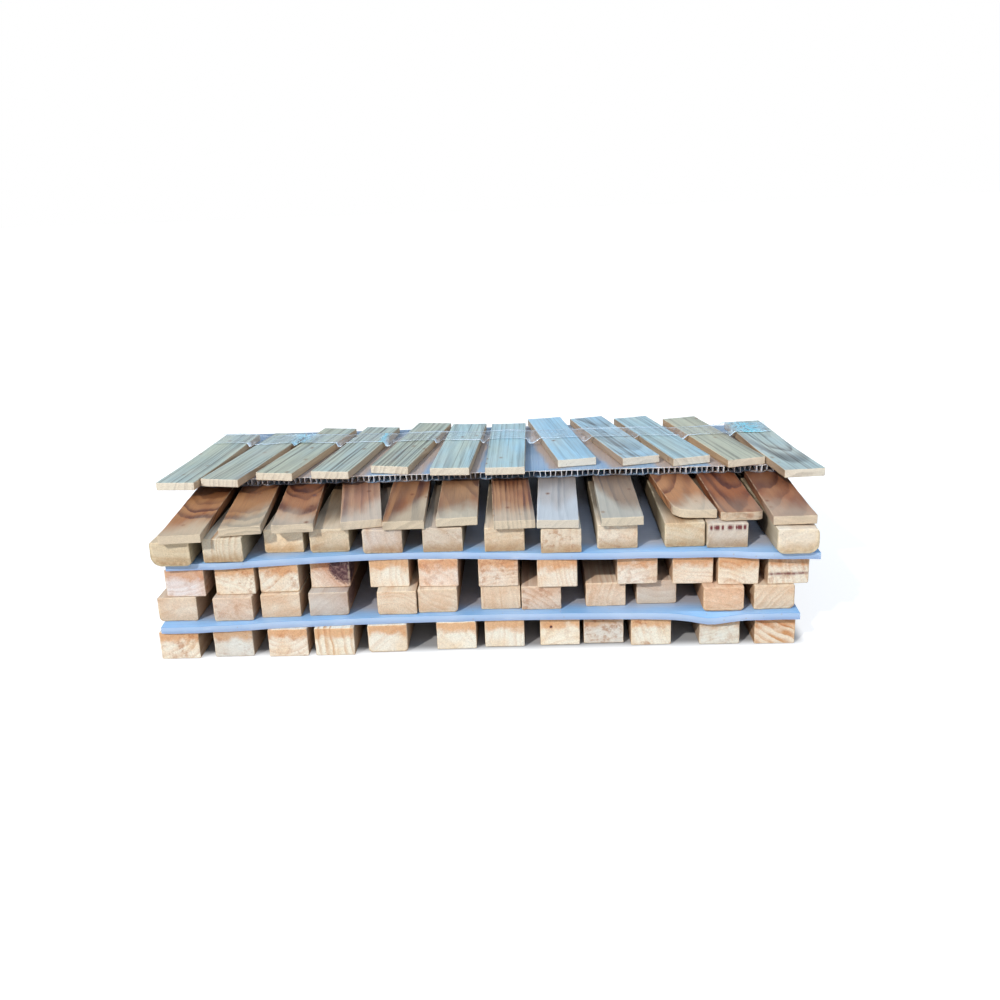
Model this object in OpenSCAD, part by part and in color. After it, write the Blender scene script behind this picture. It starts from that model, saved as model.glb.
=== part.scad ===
/* Loose pack of hive-frame timber: thin slats and square-edged bars laid front to back
   in tiers, with three twin-wall plastic sheets between the tiers.
   Units are millimetres. X runs left to right, Y runs front to back, Z is up.
   The pack stands on z = 0, with the middle of its outline at x = 0, y = 0.
   Every stick is a separate solid, drawn where it lies in the pack. */

/* [Timber] */
// Width of every bar
bar_w = 27; // [25:0.5:28]
// Height of the thick bars in the base row and the centre row
thick_bar_h = 20; // [18:0.5:24]
// Height of the thinner bars in the lower row and the upper row
thin_bar_h = 17; // [12:0.5:19]
// Length of every bar
bar_len = 216; // [205:1:225]
// Sawn-off arris on the long edges of the bars
bar_arris = 0.8; // [0.2:0.1:1.5]

/* [Slats] */
// Width of the slats that lie on the upper bars
mid_slat_w = 28; // [24:0.5:28]
// Width of the short slats on top of the pack
top_slat_w = 29.5; // [25:0.5:29.5]
// Thickness of every slat
slat_h = 6; // [4:0.5:9]
// Length of the slats that lie on the upper bars
mid_slat_len = 216; // [200:1:220]
// Length of the short slats on top of the pack
top_slat_len = 134; // [110:1:140]
// Sawn-off arris on the long edges of the slats
slat_arris = 0.4; // [0.1:0.1:0.8]

/* [Divider sheets] */
// Width of the lower sheet
lower_sheet_w = 426; // [420:1:440]
// Width of the middle sheet
middle_sheet_w = 432; // [420:1:440]
// Width of the upper sheet
upper_sheet_w = 438; // [420:1:440]
// Depth of the lower and middle sheets
sheet_d = 220; // [200:1:230]
// Thickness of the lower and middle sheets
sheet_h = 4.5; // [3:0.5:6]
// Depth of the upper sheet
upper_sheet_d = 136; // [120:1:150]
// Thickness of the upper sheet
upper_sheet_h = 6; // [4:0.5:8]
// Distance between neighbouring webs inside a sheet
flute_pitch = 4; // [3:0.5:6]
// Thickness of the two skins of a sheet
skin_t = 0.6; // [0.4:0.1:0.9]
// Thickness of the webs between the skins
web_t = 0.5; // [0.3:0.1:0.9]

/* [Strip over the top slats] */
// Width of the clear strip
strip_w = 27; // [12:1:40]
// Length of the clear strip
strip_len = 454; // [400:1:470]
// Thickness of the clear strip
strip_t = 0.3; // [0.2:0.1:0.6]

/* [Layout] */
// Even spacing of the columns in the tiers below the top slats
column_pitch = 37.5; // [37.5:0.1:38.5]
// Even spacing of the columns in the top tier
top_pitch = 41; // [41:0.1:42]
// Clearance between one layer and the next
layer_gap = 0.1; // [0.05:0.05:0.3]

/* [Hidden] */
COLS = 12;
LAST = COLS - 1;

// One entry for each stick of a tier, from left to right:
//   _x     how far its front end lies to the right of its even column
//   _y     how far back its front end lies
//   _turn  degrees clockwise from above, about the middle of its front end
base_x   = [ -1,  -2,  -2,  -8, -10,  -1,  -6,  -6, -14, -20, -12, -13];
base_y   = [ -3,  -2,  -3,  -3,   0,   2,   4,   5,   6,   2,   1,   0];
lower_x  = [ -2,  -1,  -7, -12,  -3, -13,  -8, -18, -12, -15, -10, -14];
lower_y  = [  4,   2,   6,   7,   6,   8,  11,   9,  12,  14,   0,   1];
centre_x = [  5,   1,  -7, -11,  -8, -12,  -9,  -7,   9,   8,   0,  -5];
centre_y = [  5,   7,   9,  15,  14,  12,  10,   7,   9,   7,   4,   3];
upper_x  = [  0,  -4,  -4, -10, -11,  -8,  -4,  -4,  -4,   3,  -7,  -2];
upper_y  = [ -1,   4,  19,  17,  13,  13,  11,   6,  11,  11,   8,  -6];
mid_x    = [  9,   8,   5,  13,   4,   2,   3,  -6,  -1,  11,   3,  -3];
mid_y    = [ -5,   7,  10,  15,  11,  13,   7,   5,   7,  15,  11,   0];
mid_turn = [ -4,  -6,  -6,  -9,-2.5,-1.5,-2.5, 1.5, 0.5,  -4,-0.5,   2];
top_x    = [  0, -10, -14, -13, -11,  -6,  -6,   7,  14,  10,   8,   1];
top_y    = [ 73,  78,  91,  90, 100,  91,  88, 106, 106, 102,  95,  64];
top_turn = [  6,  10,11.5, 9.5,  10, 3.5, 0.5,-9.5,-14.5,-14, -13,  -7];

// Middle of each sheet's front edge
lower_sheet_x = -5;
lower_sheet_y = -5;
middle_sheet_x = 4;
middle_sheet_y = 2;
upper_sheet_x = 2;
upper_sheet_y = 98;

// Centre of the strip, and its turn in degrees clockwise from above
strip_x = -0.5;
strip_y = 182;
strip_turn = 1.5;

sheet_colour = [0.80, 0.88, 0.96];

// Underside of each layer, from the floor up
z_base         = 0;
z_lower_sheet  = z_base + thick_bar_h + layer_gap;
z_lower        = z_lower_sheet + sheet_h + layer_gap;
z_centre       = z_lower + thin_bar_h + layer_gap;
z_middle_sheet = z_centre + thick_bar_h + layer_gap;
z_upper        = z_middle_sheet + sheet_h + layer_gap;
z_mid          = z_upper + thin_bar_h + layer_gap;
z_upper_sheet  = z_mid + slat_h + layer_gap;
z_top          = z_upper_sheet + upper_sheet_h + layer_gap;
z_strip        = z_top + slat_h + layer_gap;

function column_x(i, pitch) = (i - LAST / 2) * pitch;

// X of a top slat's front corner: side is -1 for the left one, 1 for the right one
function top_corner_x(i, side) =
  column_x(i, top_pitch) + top_x[i] + side * top_slat_w / 2 * cos(top_turn[i]);

// Y of the furthest back corner of a turned slat
function slat_back_y(front_y, width, length, turn) =
  front_y + length * cos(turn) + width / 2 * abs(sin(turn));

// The pack's outline: its left and right limits are the outer top slats, its front limit is
// the foremost upper bar and its back limit is the furthest slat
x_left = top_corner_x(0, -1);
x_right = top_corner_x(LAST, 1);
y_front = min(upper_y);
y_back = max([for (i = [0 : LAST]) max(
  slat_back_y(mid_y[i], mid_slat_w, mid_slat_len, mid_turn[i]),
  slat_back_y(top_y[i], top_slat_w, top_slat_len, top_turn[i])
)]);
x_mid = (x_left + x_right) / 2;
y_mid = (y_front + y_back) / 2;

// Puts a part in the pack, turned clockwise from above about its own origin
module lay(x, y, z, turn = 0) {
  translate([x - x_mid, y - y_mid, z]) rotate([0, 0, -turn]) children();
}

// A straight stick from y = 0 backwards, with its lower face at z = 0 and its long arrises
// taken off
module stick(width, height, length, arris) {
  side = width / 2;
  translate([0, length, 0]) rotate([90, 0, 0]) linear_extrude(length)
    polygon([
      [-side + arris, 0], [side - arris, 0],
      [side, arris], [side, height - arris],
      [side - arris, height], [-side + arris, height],
      [-side, height - arris], [-side, arris]
    ]);
}

module bar(i, x_shifts, front_ys, z, height) {
  lay(column_x(i, column_pitch) + x_shifts[i], front_ys[i], z)
    stick(bar_w, height, bar_len, bar_arris);
}

module base_bar(i) {
  color([0.85, 0.72, 0.52]) bar(i, base_x, base_y, z_base, thick_bar_h);
}

module lower_bar(i) {
  color([0.87, 0.74, 0.55]) bar(i, lower_x, lower_y, z_lower, thin_bar_h);
}

module centre_bar(i) {
  color([0.84, 0.70, 0.50]) bar(i, centre_x, centre_y, z_centre, thick_bar_h);
}

module upper_bar(i) {
  color([0.86, 0.73, 0.54]) bar(i, upper_x, upper_y, z_upper, thin_bar_h);
}

module mid_slat(i) {
  color([0.80, 0.64, 0.43])
    lay(column_x(i, column_pitch) + mid_x[i], mid_y[i], z_mid, mid_turn[i])
      stick(mid_slat_w, slat_h, mid_slat_len, slat_arris);
}

module top_slat(i) {
  color([0.88, 0.79, 0.64])
    lay(column_x(i, top_pitch) + top_x[i], top_y[i], z_top, top_turn[i])
      stick(top_slat_w, slat_h, top_slat_len, slat_arris);
}

// Section across the flutes: two skins joined by evenly spaced webs
module flute_section(span, height) {
  flutes = floor((span - web_t) / flute_pitch);
  even_pitch = (span - web_t) / flutes;
  difference() {
    square([span, height]);
    for (k = [0 : flutes - 1])
      translate([web_t + k * even_pitch, skin_t])
        square([even_pitch - web_t, height - 2 * skin_t]);
  }
}

// Twin-wall sheet with its flutes open at the front and back
module fluted_front(width, depth, height) {
  translate([-width / 2, depth, 0]) rotate([90, 0, 0]) linear_extrude(depth)
    flute_section(width, height);
}

// Twin-wall sheet with its flutes open at the left and right, so its front edge is closed
module fluted_side(width, depth, height) {
  translate([-width / 2, 0, 0]) rotate([90, 0, 90]) linear_extrude(width)
    flute_section(depth, height);
}

module lower_sheet() {
  color(sheet_colour)
    lay(lower_sheet_x, lower_sheet_y, z_lower_sheet)
      fluted_side(lower_sheet_w, sheet_d, sheet_h);
}

module middle_sheet() {
  color(sheet_colour)
    lay(middle_sheet_x, middle_sheet_y, z_middle_sheet)
      fluted_side(middle_sheet_w, sheet_d, sheet_h);
}

module upper_sheet() {
  color([0.86, 0.92, 0.97])
    lay(upper_sheet_x, upper_sheet_y, z_upper_sheet)
      fluted_front(upper_sheet_w, upper_sheet_d, upper_sheet_h);
}

module clear_strip() {
  color([0.9, 0.95, 1.0, 0.4])
    lay(strip_x, strip_y, z_strip, strip_turn)
      translate([-strip_len / 2, -strip_w / 2, 0])
        cube([strip_len, strip_w, strip_t]);
}

for (i = [0 : 3]) base_bar(i);  // base_bars_left
for (i = [4 : 7]) base_bar(i);  // base_bars_middle
for (i = [8 : 11]) base_bar(i);  // base_bars_right
lower_sheet();
for (i = [0 : 3]) lower_bar(i);  // lower_bars_left
for (i = [4 : 7]) lower_bar(i);  // lower_bars_middle
for (i = [8 : 11]) lower_bar(i);  // lower_bars_right
centre_bar(0);  // centre_bar_01
centre_bar(1);  // centre_bar_02
centre_bar(2);  // centre_bar_03
centre_bar(3);  // centre_bar_04
centre_bar(4);  // centre_bar_05
centre_bar(5);  // centre_bar_06
centre_bar(6);  // centre_bar_07
centre_bar(7);  // centre_bar_08
centre_bar(8);  // centre_bar_09
centre_bar(9);  // centre_bar_10
centre_bar(10);  // centre_bar_11
centre_bar(11);  // centre_bar_12
middle_sheet();
upper_bar(0);  // upper_bar_01
upper_bar(1);  // upper_bar_02
upper_bar(2);  // upper_bar_03
upper_bar(3);  // upper_bar_04
upper_bar(4);  // upper_bar_05
upper_bar(5);  // upper_bar_06
upper_bar(6);  // upper_bar_07
upper_bar(7);  // upper_bar_08
upper_bar(8);  // upper_bar_09
upper_bar(9);  // upper_bar_10
upper_bar(10);  // upper_bar_11
upper_bar(11);  // upper_bar_12
mid_slat(0);  // mid_slat_01
mid_slat(1);  // mid_slat_02
mid_slat(2);  // mid_slat_03
mid_slat(3);  // mid_slat_04
mid_slat(4);  // mid_slat_05
mid_slat(5);  // mid_slat_06
mid_slat(6);  // mid_slat_07
mid_slat(7);  // mid_slat_08
mid_slat(8);  // mid_slat_09
mid_slat(9);  // mid_slat_10
mid_slat(10);  // mid_slat_11
mid_slat(11);  // mid_slat_12
upper_sheet();
top_slat(0);  // top_slat_01
top_slat(1);  // top_slat_02
top_slat(2);  // top_slat_03
top_slat(3);  // top_slat_04
top_slat(4);  // top_slat_05
top_slat(5);  // top_slat_06
top_slat(6);  // top_slat_07
top_slat(7);  // top_slat_08
top_slat(8);  // top_slat_09
top_slat(9);  // top_slat_10
top_slat(10);  // top_slat_11
top_slat(11);  // top_slat_12
clear_strip();
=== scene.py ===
import math

import bpy
import numpy as np
from mathutils import Matrix, Vector


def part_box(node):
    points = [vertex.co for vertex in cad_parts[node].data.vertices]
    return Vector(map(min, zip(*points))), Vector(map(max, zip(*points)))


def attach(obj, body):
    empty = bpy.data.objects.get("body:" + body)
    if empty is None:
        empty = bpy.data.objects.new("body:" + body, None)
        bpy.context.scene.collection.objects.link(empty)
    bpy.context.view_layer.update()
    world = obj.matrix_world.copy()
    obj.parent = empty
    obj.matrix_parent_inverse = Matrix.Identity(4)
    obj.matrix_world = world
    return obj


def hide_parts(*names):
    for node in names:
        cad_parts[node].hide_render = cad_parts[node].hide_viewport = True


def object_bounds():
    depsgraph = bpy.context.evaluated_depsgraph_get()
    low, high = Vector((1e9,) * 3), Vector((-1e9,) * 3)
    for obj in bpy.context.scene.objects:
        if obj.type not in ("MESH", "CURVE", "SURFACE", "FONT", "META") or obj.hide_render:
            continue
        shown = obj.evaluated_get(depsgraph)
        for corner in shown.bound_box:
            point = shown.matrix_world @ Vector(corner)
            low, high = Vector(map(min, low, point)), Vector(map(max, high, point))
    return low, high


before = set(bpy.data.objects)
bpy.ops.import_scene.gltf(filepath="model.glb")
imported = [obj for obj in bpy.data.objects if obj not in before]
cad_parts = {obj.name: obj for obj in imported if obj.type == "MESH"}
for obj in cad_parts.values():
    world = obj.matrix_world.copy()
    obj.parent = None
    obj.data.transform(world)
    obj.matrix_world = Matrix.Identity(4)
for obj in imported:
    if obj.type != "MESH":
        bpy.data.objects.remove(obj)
CAD_LO, CAD_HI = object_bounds()
MM = 0.001

# ---------------------------------------------------------------------------
# Small helpers
# ---------------------------------------------------------------------------


def lin(c):
    """sRGB 0-255 to linear, as a colour with alpha."""
    out = []
    for v in c:
        v = v / 255.0
        out.append(v / 12.92 if v <= 0.04045 else ((v + 0.055) / 1.055) ** 2.4)
    return tuple(out) + (1.0,)


def wave(rng, lengths, amps):
    """A smooth wandering curve: a sum of sines of the given wavelengths, each with its own phase."""
    terms = [(2 * math.pi / (l * rng.uniform(0.85, 1.2)), a, rng.uniform(0, 2 * math.pi)) for l, a in zip(lengths, amps)]

    def f(x):
        x = np.asarray(x, float)
        return sum(a * np.sin(k * x + p) for k, a, p in terms)

    return f


def smooth(lo, hi, x):
    t = np.clip((np.asarray(x, float) - lo) / (hi - lo), 0, 1)
    return t * t * (3 - 2 * t)


def new_mesh(name, co, quads, attrs=None, smooth_shade=True):
    """A mesh object from numpy arrays, in metres, with float-vector attributes on its points."""
    me = bpy.data.meshes.new(name)
    n, m = len(co), len(quads)
    me.vertices.add(n)
    me.vertices.foreach_set("co", np.asarray(co, np.float32).ravel())
    me.loops.add(m * 4)
    me.loops.foreach_set("vertex_index", np.asarray(quads, np.int32).ravel())
    me.polygons.add(m)
    me.polygons.foreach_set("loop_start", np.arange(0, 4 * m, 4, dtype=np.int32))
    me.polygons.foreach_set("use_smooth", np.full(m, smooth_shade))
    me.update(calc_edges=True)
    me.validate()
    for key, arr in (attrs or {}).items():
        a = me.attributes.new(key, "FLOAT_VECTOR", "POINT")
        a.data.foreach_set("vector", np.asarray(arr, np.float32).ravel())
    ob = bpy.data.objects.new(name, me)
    bpy.context.scene.collection.objects.link(ob)
    return ob


class Graph:
    """Short names for building a node tree."""

    def __init__(self, tree):
        self.t = tree
        self.t.nodes.clear()

    def n(self, kind, **props):
        node = self.t.nodes.new(kind)
        for k, v in props.items():
            setattr(node, k, v)
        return node

    def put(self, socket, value):
        if value is None:
            return
        if isinstance(value, bpy.types.NodeSocket):
            self.t.links.new(value, socket)
        elif isinstance(value, (tuple, list)) and len(value) == 3 and socket.type == "RGBA":
            socket.default_value = tuple(value) + (1.0,)
        else:
            socket.default_value = value

    def attr(self, name, kind="GEOMETRY", out="Vector"):
        return self.n("ShaderNodeAttribute", attribute_name=name, attribute_type=kind).outputs[out]

    def sep(self, v):
        s = self.n("ShaderNodeSeparateXYZ")
        self.put(s.inputs[0], v)
        return s.outputs[0], s.outputs[1], s.outputs[2]

    def comb(self, x, y, z):
        c = self.n("ShaderNodeCombineXYZ")
        for i, v in enumerate((x, y, z)):
            self.put(c.inputs[i], v)
        return c.outputs[0]

    def m(self, op, a, b=None, c=None, clamp=False):
        node = self.n("ShaderNodeMath", operation=op, use_clamp=clamp)
        for i, v in enumerate((a, b, c)):
            if v is not None:
                self.put(node.inputs[i], v)
        return node.outputs[0]

    def vm(self, op, a, b=None):
        node = self.n("ShaderNodeVectorMath", operation=op)
        self.put(node.inputs[0], a)
        if b is not None:
            self.put(node.inputs[1], b)
        return node.outputs["Value" if op in ("LENGTH", "DOT_PRODUCT", "DISTANCE") else "Vector"]

    def noise(self, v, scale=1.0, detail=3.0, rough=0.55, dist=0.0, lac=2.0):
        node = self.n("ShaderNodeTexNoise", noise_dimensions="3D")
        self.put(node.inputs["Vector"], v)
        self.put(node.inputs["Scale"], scale)
        node.inputs["Detail"].default_value = detail
        node.inputs["Roughness"].default_value = rough
        node.inputs["Lacunarity"].default_value = lac
        node.inputs["Distortion"].default_value = dist
        return node.outputs["Fac"]

    def noise1(self, w, scale=1.0, detail=2.0):
        node = self.n("ShaderNodeTexNoise", noise_dimensions="1D")
        self.put(node.inputs["W"], w)
        node.inputs["Scale"].default_value = scale
        node.inputs["Detail"].default_value = detail
        return node.outputs["Fac"]

    def white(self, w):
        node = self.n("ShaderNodeTexWhiteNoise", noise_dimensions="1D")
        self.put(node.inputs["W"], w)
        return node.outputs["Value"]

    def voro(self, v, scale=1.0, rand=1.0):
        node = self.n("ShaderNodeTexVoronoi", voronoi_dimensions="3D", feature="F1")
        self.put(node.inputs["Vector"], v)
        node.inputs["Scale"].default_value = scale
        node.inputs["Randomness"].default_value = rand
        return node.outputs["Distance"]

    def ss(self, lo, hi, x, a=0.0, b=1.0):
        node = self.n("ShaderNodeMapRange", interpolation_type="SMOOTHSTEP")
        self.put(node.inputs["Value"], x)
        self.put(node.inputs["From Min"], lo)
        self.put(node.inputs["From Max"], hi)
        self.put(node.inputs["To Min"], a)
        self.put(node.inputs["To Max"], b)
        return node.outputs[0]

    def mix(self, f, a, b, mode="MIX"):
        node = self.n("ShaderNodeMix", data_type="RGBA", blend_type=mode)
        self.put(node.inputs[0], f)
        self.put(node.inputs[6], a)
        self.put(node.inputs[7], b)
        return node.outputs[2]

    def grey(self, v):
        return self.comb(v, v, v)

    def bump(self, height, dist, strength=1.0, normal=None):
        node = self.n("ShaderNodeBump")
        node.inputs["Distance"].default_value = dist
        self.put(node.inputs["Strength"], strength)
        self.put(node.inputs["Height"], height)
        if normal is not None:
            self.put(node.inputs["Normal"], normal)
        return node.outputs[0]

    def out(self, shader):
        o = self.n("ShaderNodeOutputMaterial")
        self.t.links.new(shader, o.inputs["Surface"])


# ---------------------------------------------------------------------------
# Pine: a solid wood, so that the end grain, the faces and the edges of one stick agree.
# Attributes on the points: wpos = place in the stick in mm (across, up, along),
# fmask = (top face, end face, worn edge). Properties on the object set each stick's own tree.
# ---------------------------------------------------------------------------


def pine(name, early, late, flush, grey_to, pale_to, rough=0.66, saw=1.0, sheen_top=0.0, top_lit_tint=None, top_sky_reflection=(150, 196, 226), side_shade_tint=None, end_tint=None, end_mix=0.55, end_soft=0.35, end_top_shade=0.0, front_len=(34.0, 12.0), low_end_shade=0.0, darker_back=(60.0, 130.0, 0.0), darker_back_to=(156, 130, 110), lines=0.0, right_side_light=None):
    mat = bpy.data.materials.new(name)
    mat.use_nodes = True
    g = Graph(mat.node_tree)
    P = g.attr("wpos")
    X, Z, V = g.sep(P)
    top, end, edge = g.sep(g.attr("fmask"))
    px, pz, sp = g.sep(g.attr("pith", "OBJECT"))
    sx, sz, seed = g.sep(g.attr("tilt", "OBJECT"))
    tint = g.attr("tint", "OBJECT")
    contrast, grey, pale = g.sep(g.attr("look", "OBJECT"))
    knot = g.attr("knot", "OBJECT")
    kr, ks, blot = g.sep(g.attr("knotr", "OBJECT"))
    slope, curve, _ = g.sep(g.attr("fade", "OBJECT"))

    off = g.comb(g.m("MULTIPLY", seed, 13.7), g.m("MULTIPLY", seed, 7.3), g.m("MULTIPLY", seed, 91.0))
    Q = g.vm("ADD", P, off)

    def stretched(a, b):
        return g.vm("MULTIPLY", Q, (a, a, b))

    # distance from the knot, and how the rings flow round it
    kd = g.vm("LENGTH", g.vm("MULTIPLY", g.vm("SUBTRACT", P, knot), (1.0, 1.0, 0.62)))
    kdn = g.m("DIVIDE", kd, g.m("MAXIMUM", kr, 0.01))
    swirl = g.m("MULTIPLY", g.m("POWER", 2.718, g.m("MULTIPLY", g.m("MULTIPLY", kdn, kdn), -0.30)), g.m("MULTIPLY", ks, g.m("MULTIPLY", kr, 1.1)))

    low = g.m("MULTIPLY", g.m("SUBTRACT", g.noise(stretched(0.035, 0.0065), 1.0, 2.0), 0.5), 9.0)
    mid = g.m("MULTIPLY", g.m("SUBTRACT", g.noise(stretched(0.22, 0.020), 1.0, 3.0), 0.5), 1.5)
    dx = g.m("SUBTRACT", g.m("SUBTRACT", X, px), g.m("MULTIPLY", sx, V))
    dz = g.m("SUBTRACT", g.m("SUBTRACT", Z, pz), g.m("MULTIPLY", sz, V))
    R = g.m("SQRT", g.m("ADD", g.m("MULTIPLY", dx, dx), g.m("MULTIPLY", dz, dz)))
    R = g.m("ADD", g.m("ADD", R, low), g.m("ADD", mid, swirl))
    t = g.m("DIVIDE", R, sp)
    t = g.m("ADD", t, g.m("MULTIPLY", g.m("SUBTRACT", g.noise1(g.m("ADD", g.m("MULTIPLY", R, 0.11), seed), 1.0, 1.0), 0.5), 1.5))
    ring = g.m("FLOOR", t)
    f = g.m("FRACT", t)
    band = g.m("SUBTRACT", g.ss(0.22, 0.90, f), g.ss(0.90, 1.0, f))
    own = g.m("ADD", 0.30, g.m("MULTIPLY", g.white(g.m("ADD", ring, g.m("MULTIPLY", seed, 3.1))), 0.70))
    band = g.m("MULTIPLY", band, own)
    band = g.m("MULTIPLY", band, g.ss(0.30, 0.68, g.noise(stretched(0.085, 0.012), 1.0, 2.0), 0.35, 1.0))

    fibre = g.noise(stretched(1.5, 0.030), 1.0, 5.0, 0.62)
    fine = g.noise(stretched(5.5, 0.10), 1.0, 3.0, 0.6)
    patch = g.noise(stretched(0.06, 0.014), 1.0, 2.0)
    fleck = g.noise(stretched(0.9, 0.55), 1.0, 4.0, 0.65)

    late_f = g.m("MULTIPLY", g.m("MULTIPLY", band, contrast), g.m("SUBTRACT", 1.0, g.m("MULTIPLY", end, end_soft)), clamp=True)
    col = g.mix(late_f, lin(early), lin(late))
    col = g.mix(g.m("MULTIPLY", g.ss(0.42, 0.72, patch), 0.55), col, g.mix(0.8, col, lin(flush), "MULTIPLY"))
    # long fibres: light and dark streaks, finer on top of coarser
    streak = g.m("ADD", 1.0, g.m("ADD", g.m("MULTIPLY", g.m("SUBTRACT", fibre, 0.5), 0.66), g.m("MULTIPLY", g.m("SUBTRACT", fine, 0.5), 0.42)))
    col = g.mix(1.0, col, g.grey(streak), "MULTIPLY")
    col = g.mix(1.0, col, g.grey(g.m("ADD", 1.0, g.m("MULTIPLY", g.m("MULTIPLY", g.m("SUBTRACT", fleck, 0.5), 0.55), end))), "MULTIPLY")
    # resin canals: dots on the ends, dashes on the faces
    canal = g.m("SUBTRACT", 1.0, g.ss(0.05, 0.17, g.voro(stretched(0.55, 0.014))))
    canal = g.m("MULTIPLY", canal, g.ss(0.45, 0.7, g.noise(stretched(0.1, 0.01), 1.0, 1.0)))
    col = g.mix(g.m("MULTIPLY", canal, 0.55), col, lin((120, 78, 42)))
    # silvered or bleached timber keeps its grain but loses its warmth
    col = g.mix(grey, col, g.mix(1.0, lin(grey_to), g.grey(g.m("ADD", 0.62, g.m("MULTIPLY", g.m("SUBTRACT", streak, g.m("MULTIPLY", late_f, 0.55)), 0.42))), "MULTIPLY"))
    col = g.mix(1.0, col, tint, "MULTIPLY")

    # side and bottom faces painted a darker brown: the sawn sides' own brown deepened with painted shade, as falls
    # between the sticks; on the top slats the right-facing sides get a lighter colour, painted light where the key
    # leaves them in shade
    if side_shade_tint is not None:
        side = g.m("SUBTRACT", g.m("SUBTRACT", 1.0, top), end, clamp=True)
        side_shade_colour = lin(side_shade_tint) if right_side_light is None else g.mix(g.ss(-6.0, 6.0, X), lin(side_shade_tint), lin(right_side_light))
        col = g.mix(g.m("MULTIPLY", side, 0.75), col, g.mix(1.0, g.mix(1.0, side_shade_colour, tint, "MULTIPLY"), g.grey(g.m("SUBTRACT", g.m("ADD", streak, 0.06), g.m("MULTIPLY", late_f, 0.34))), "MULTIPLY"))
    # darker further back from the front end, on all but the end faces: painted shade on the bars, as falls in the gaps
    # between them; on the mid slats a darker back part
    if darker_back[2]:
        av = g.m("ADD", V, g.m("MULTIPLY", g.m("SUBTRACT", patch, 0.5), 40.0))
        a_f = g.m("MULTIPLY", g.m("MULTIPLY", g.ss(darker_back[0], darker_back[1], av), darker_back[2]), g.m("SUBTRACT", 1.0, end), clamp=True)
        col = g.mix(a_f, col, g.mix(1.0, col, lin(darker_back_to), "MULTIPLY"))

    # a paler first stretch behind the front end, with a wandering limit
    lim = g.m("ADD", V, g.m("ADD", g.m("MULTIPLY", g.m("SUBTRACT", g.noise(stretched(0.10, 0.03), 1.0, 2.0), 0.5), 30.0), g.m("MULTIPLY", g.m("SUBTRACT", fibre, 0.5), 16.0)))
    lim = g.m("ADD", lim, g.m("ADD", g.m("MULTIPLY", slope, X), g.m("MULTIPLY", curve, g.m("ABSOLUTE", X))))
    front = g.m("MULTIPLY", g.ss(front_len[0], front_len[1], lim), pale)
    pale_c = g.mix(1.0, g.mix(grey, lin(pale_to), lin((190, 202, 212))), g.mix(0.5, (1.0, 1.0, 1.0, 1.0), tint), "MULTIPLY")
    worn = g.m("ADD", 0.42, g.m("MULTIPLY", g.m("SUBTRACT", streak, g.m("MULTIPLY", late_f, 0.25)), 0.60))
    col = g.mix(g.m("MULTIPLY", front, 0.8, clamp=True), col, g.mix(1.0, pale_c, g.grey(worn), "MULTIPLY"))

    # top faces painted pale grey-green and sky blue: the wood's silvered grey with a painted reflection of the sky,
    # lighter than the sides
    if top_lit_tint is not None:
        t_amt = g.m("MULTIPLY", g.m("MULTIPLY", top, 0.86), g.ss(0.25, 0.62, g.noise(stretched(0.05, 0.02), 1.0, 2.0), 0.72, 1.0))
        sky_amount = g.m("ADD", g.m("MULTIPLY", g.m("SUBTRACT", g.noise(stretched(0.06, 0.014), 1.0, 3.0), 0.42), 1.5), g.m("MULTIPLY", g.m("SUBTRACT", grey, 0.12), 1.6), clamp=True)
        lit = g.mix(sky_amount, lin(top_lit_tint), lin(top_sky_reflection))
        ln = g.m("MULTIPLY", g.ss(0.50, 0.66, g.noise(stretched(0.62, 0.0045), 1.0, 3.0, 0.6)), g.m("MULTIPLY", contrast, lines))
        dark = g.m("ADD", g.m("MULTIPLY", late_f, 0.62), ln)
        lit = g.mix(1.0, lit, g.grey(g.m("MAXIMUM", 0.12, g.m("ADD", 0.16, g.m("MULTIPLY", g.m("SUBTRACT", streak, dark), 0.86)))), "MULTIPLY")
        col = g.mix(t_amt, col, g.mix(1.0, lit, tint, "MULTIPLY"))
    if end_tint is not None:
        col = g.mix(g.m("MULTIPLY", end, end_mix), col, g.mix(1.0, lin(end_tint), g.grey(g.m("SUBTRACT", streak, g.m("MULTIPLY", late_f, 0.30))), "MULTIPLY"))
    # the top of each end face painted warm and darker: painted shade cast by the sheet edge that overhangs it
    if end_top_shade:
        zz = g.m("ADD", Z, g.m("MULTIPLY", g.m("SUBTRACT", g.noise(stretched(0.14, 0.1), 1.0, 3.0), 0.5), 14.0))
        ts = g.m("MULTIPLY", g.m("MULTIPLY", g.ss(-0.5, 6.5, zz), end), end_top_shade)
        col = g.mix(ts, col, g.mix(1.0, col, lin((232, 178, 128)), "MULTIPLY"))
    # the bottom of each end face painted darker: painted shade along the foot of the bar
    if low_end_shade:
        zl = g.m("ADD", Z, g.m("MULTIPLY", g.m("SUBTRACT", g.noise(stretched(0.16, 0.1), 1.0, 3.0), 0.5), 6.0))
        lg = g.m("MULTIPLY", g.m("MULTIPLY", g.ss(1.0, -8.0, zl), end), low_end_shade)
        col = g.mix(lg, col, g.mix(1.0, col, lin((206, 184, 156)), "MULTIPLY"))
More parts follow.
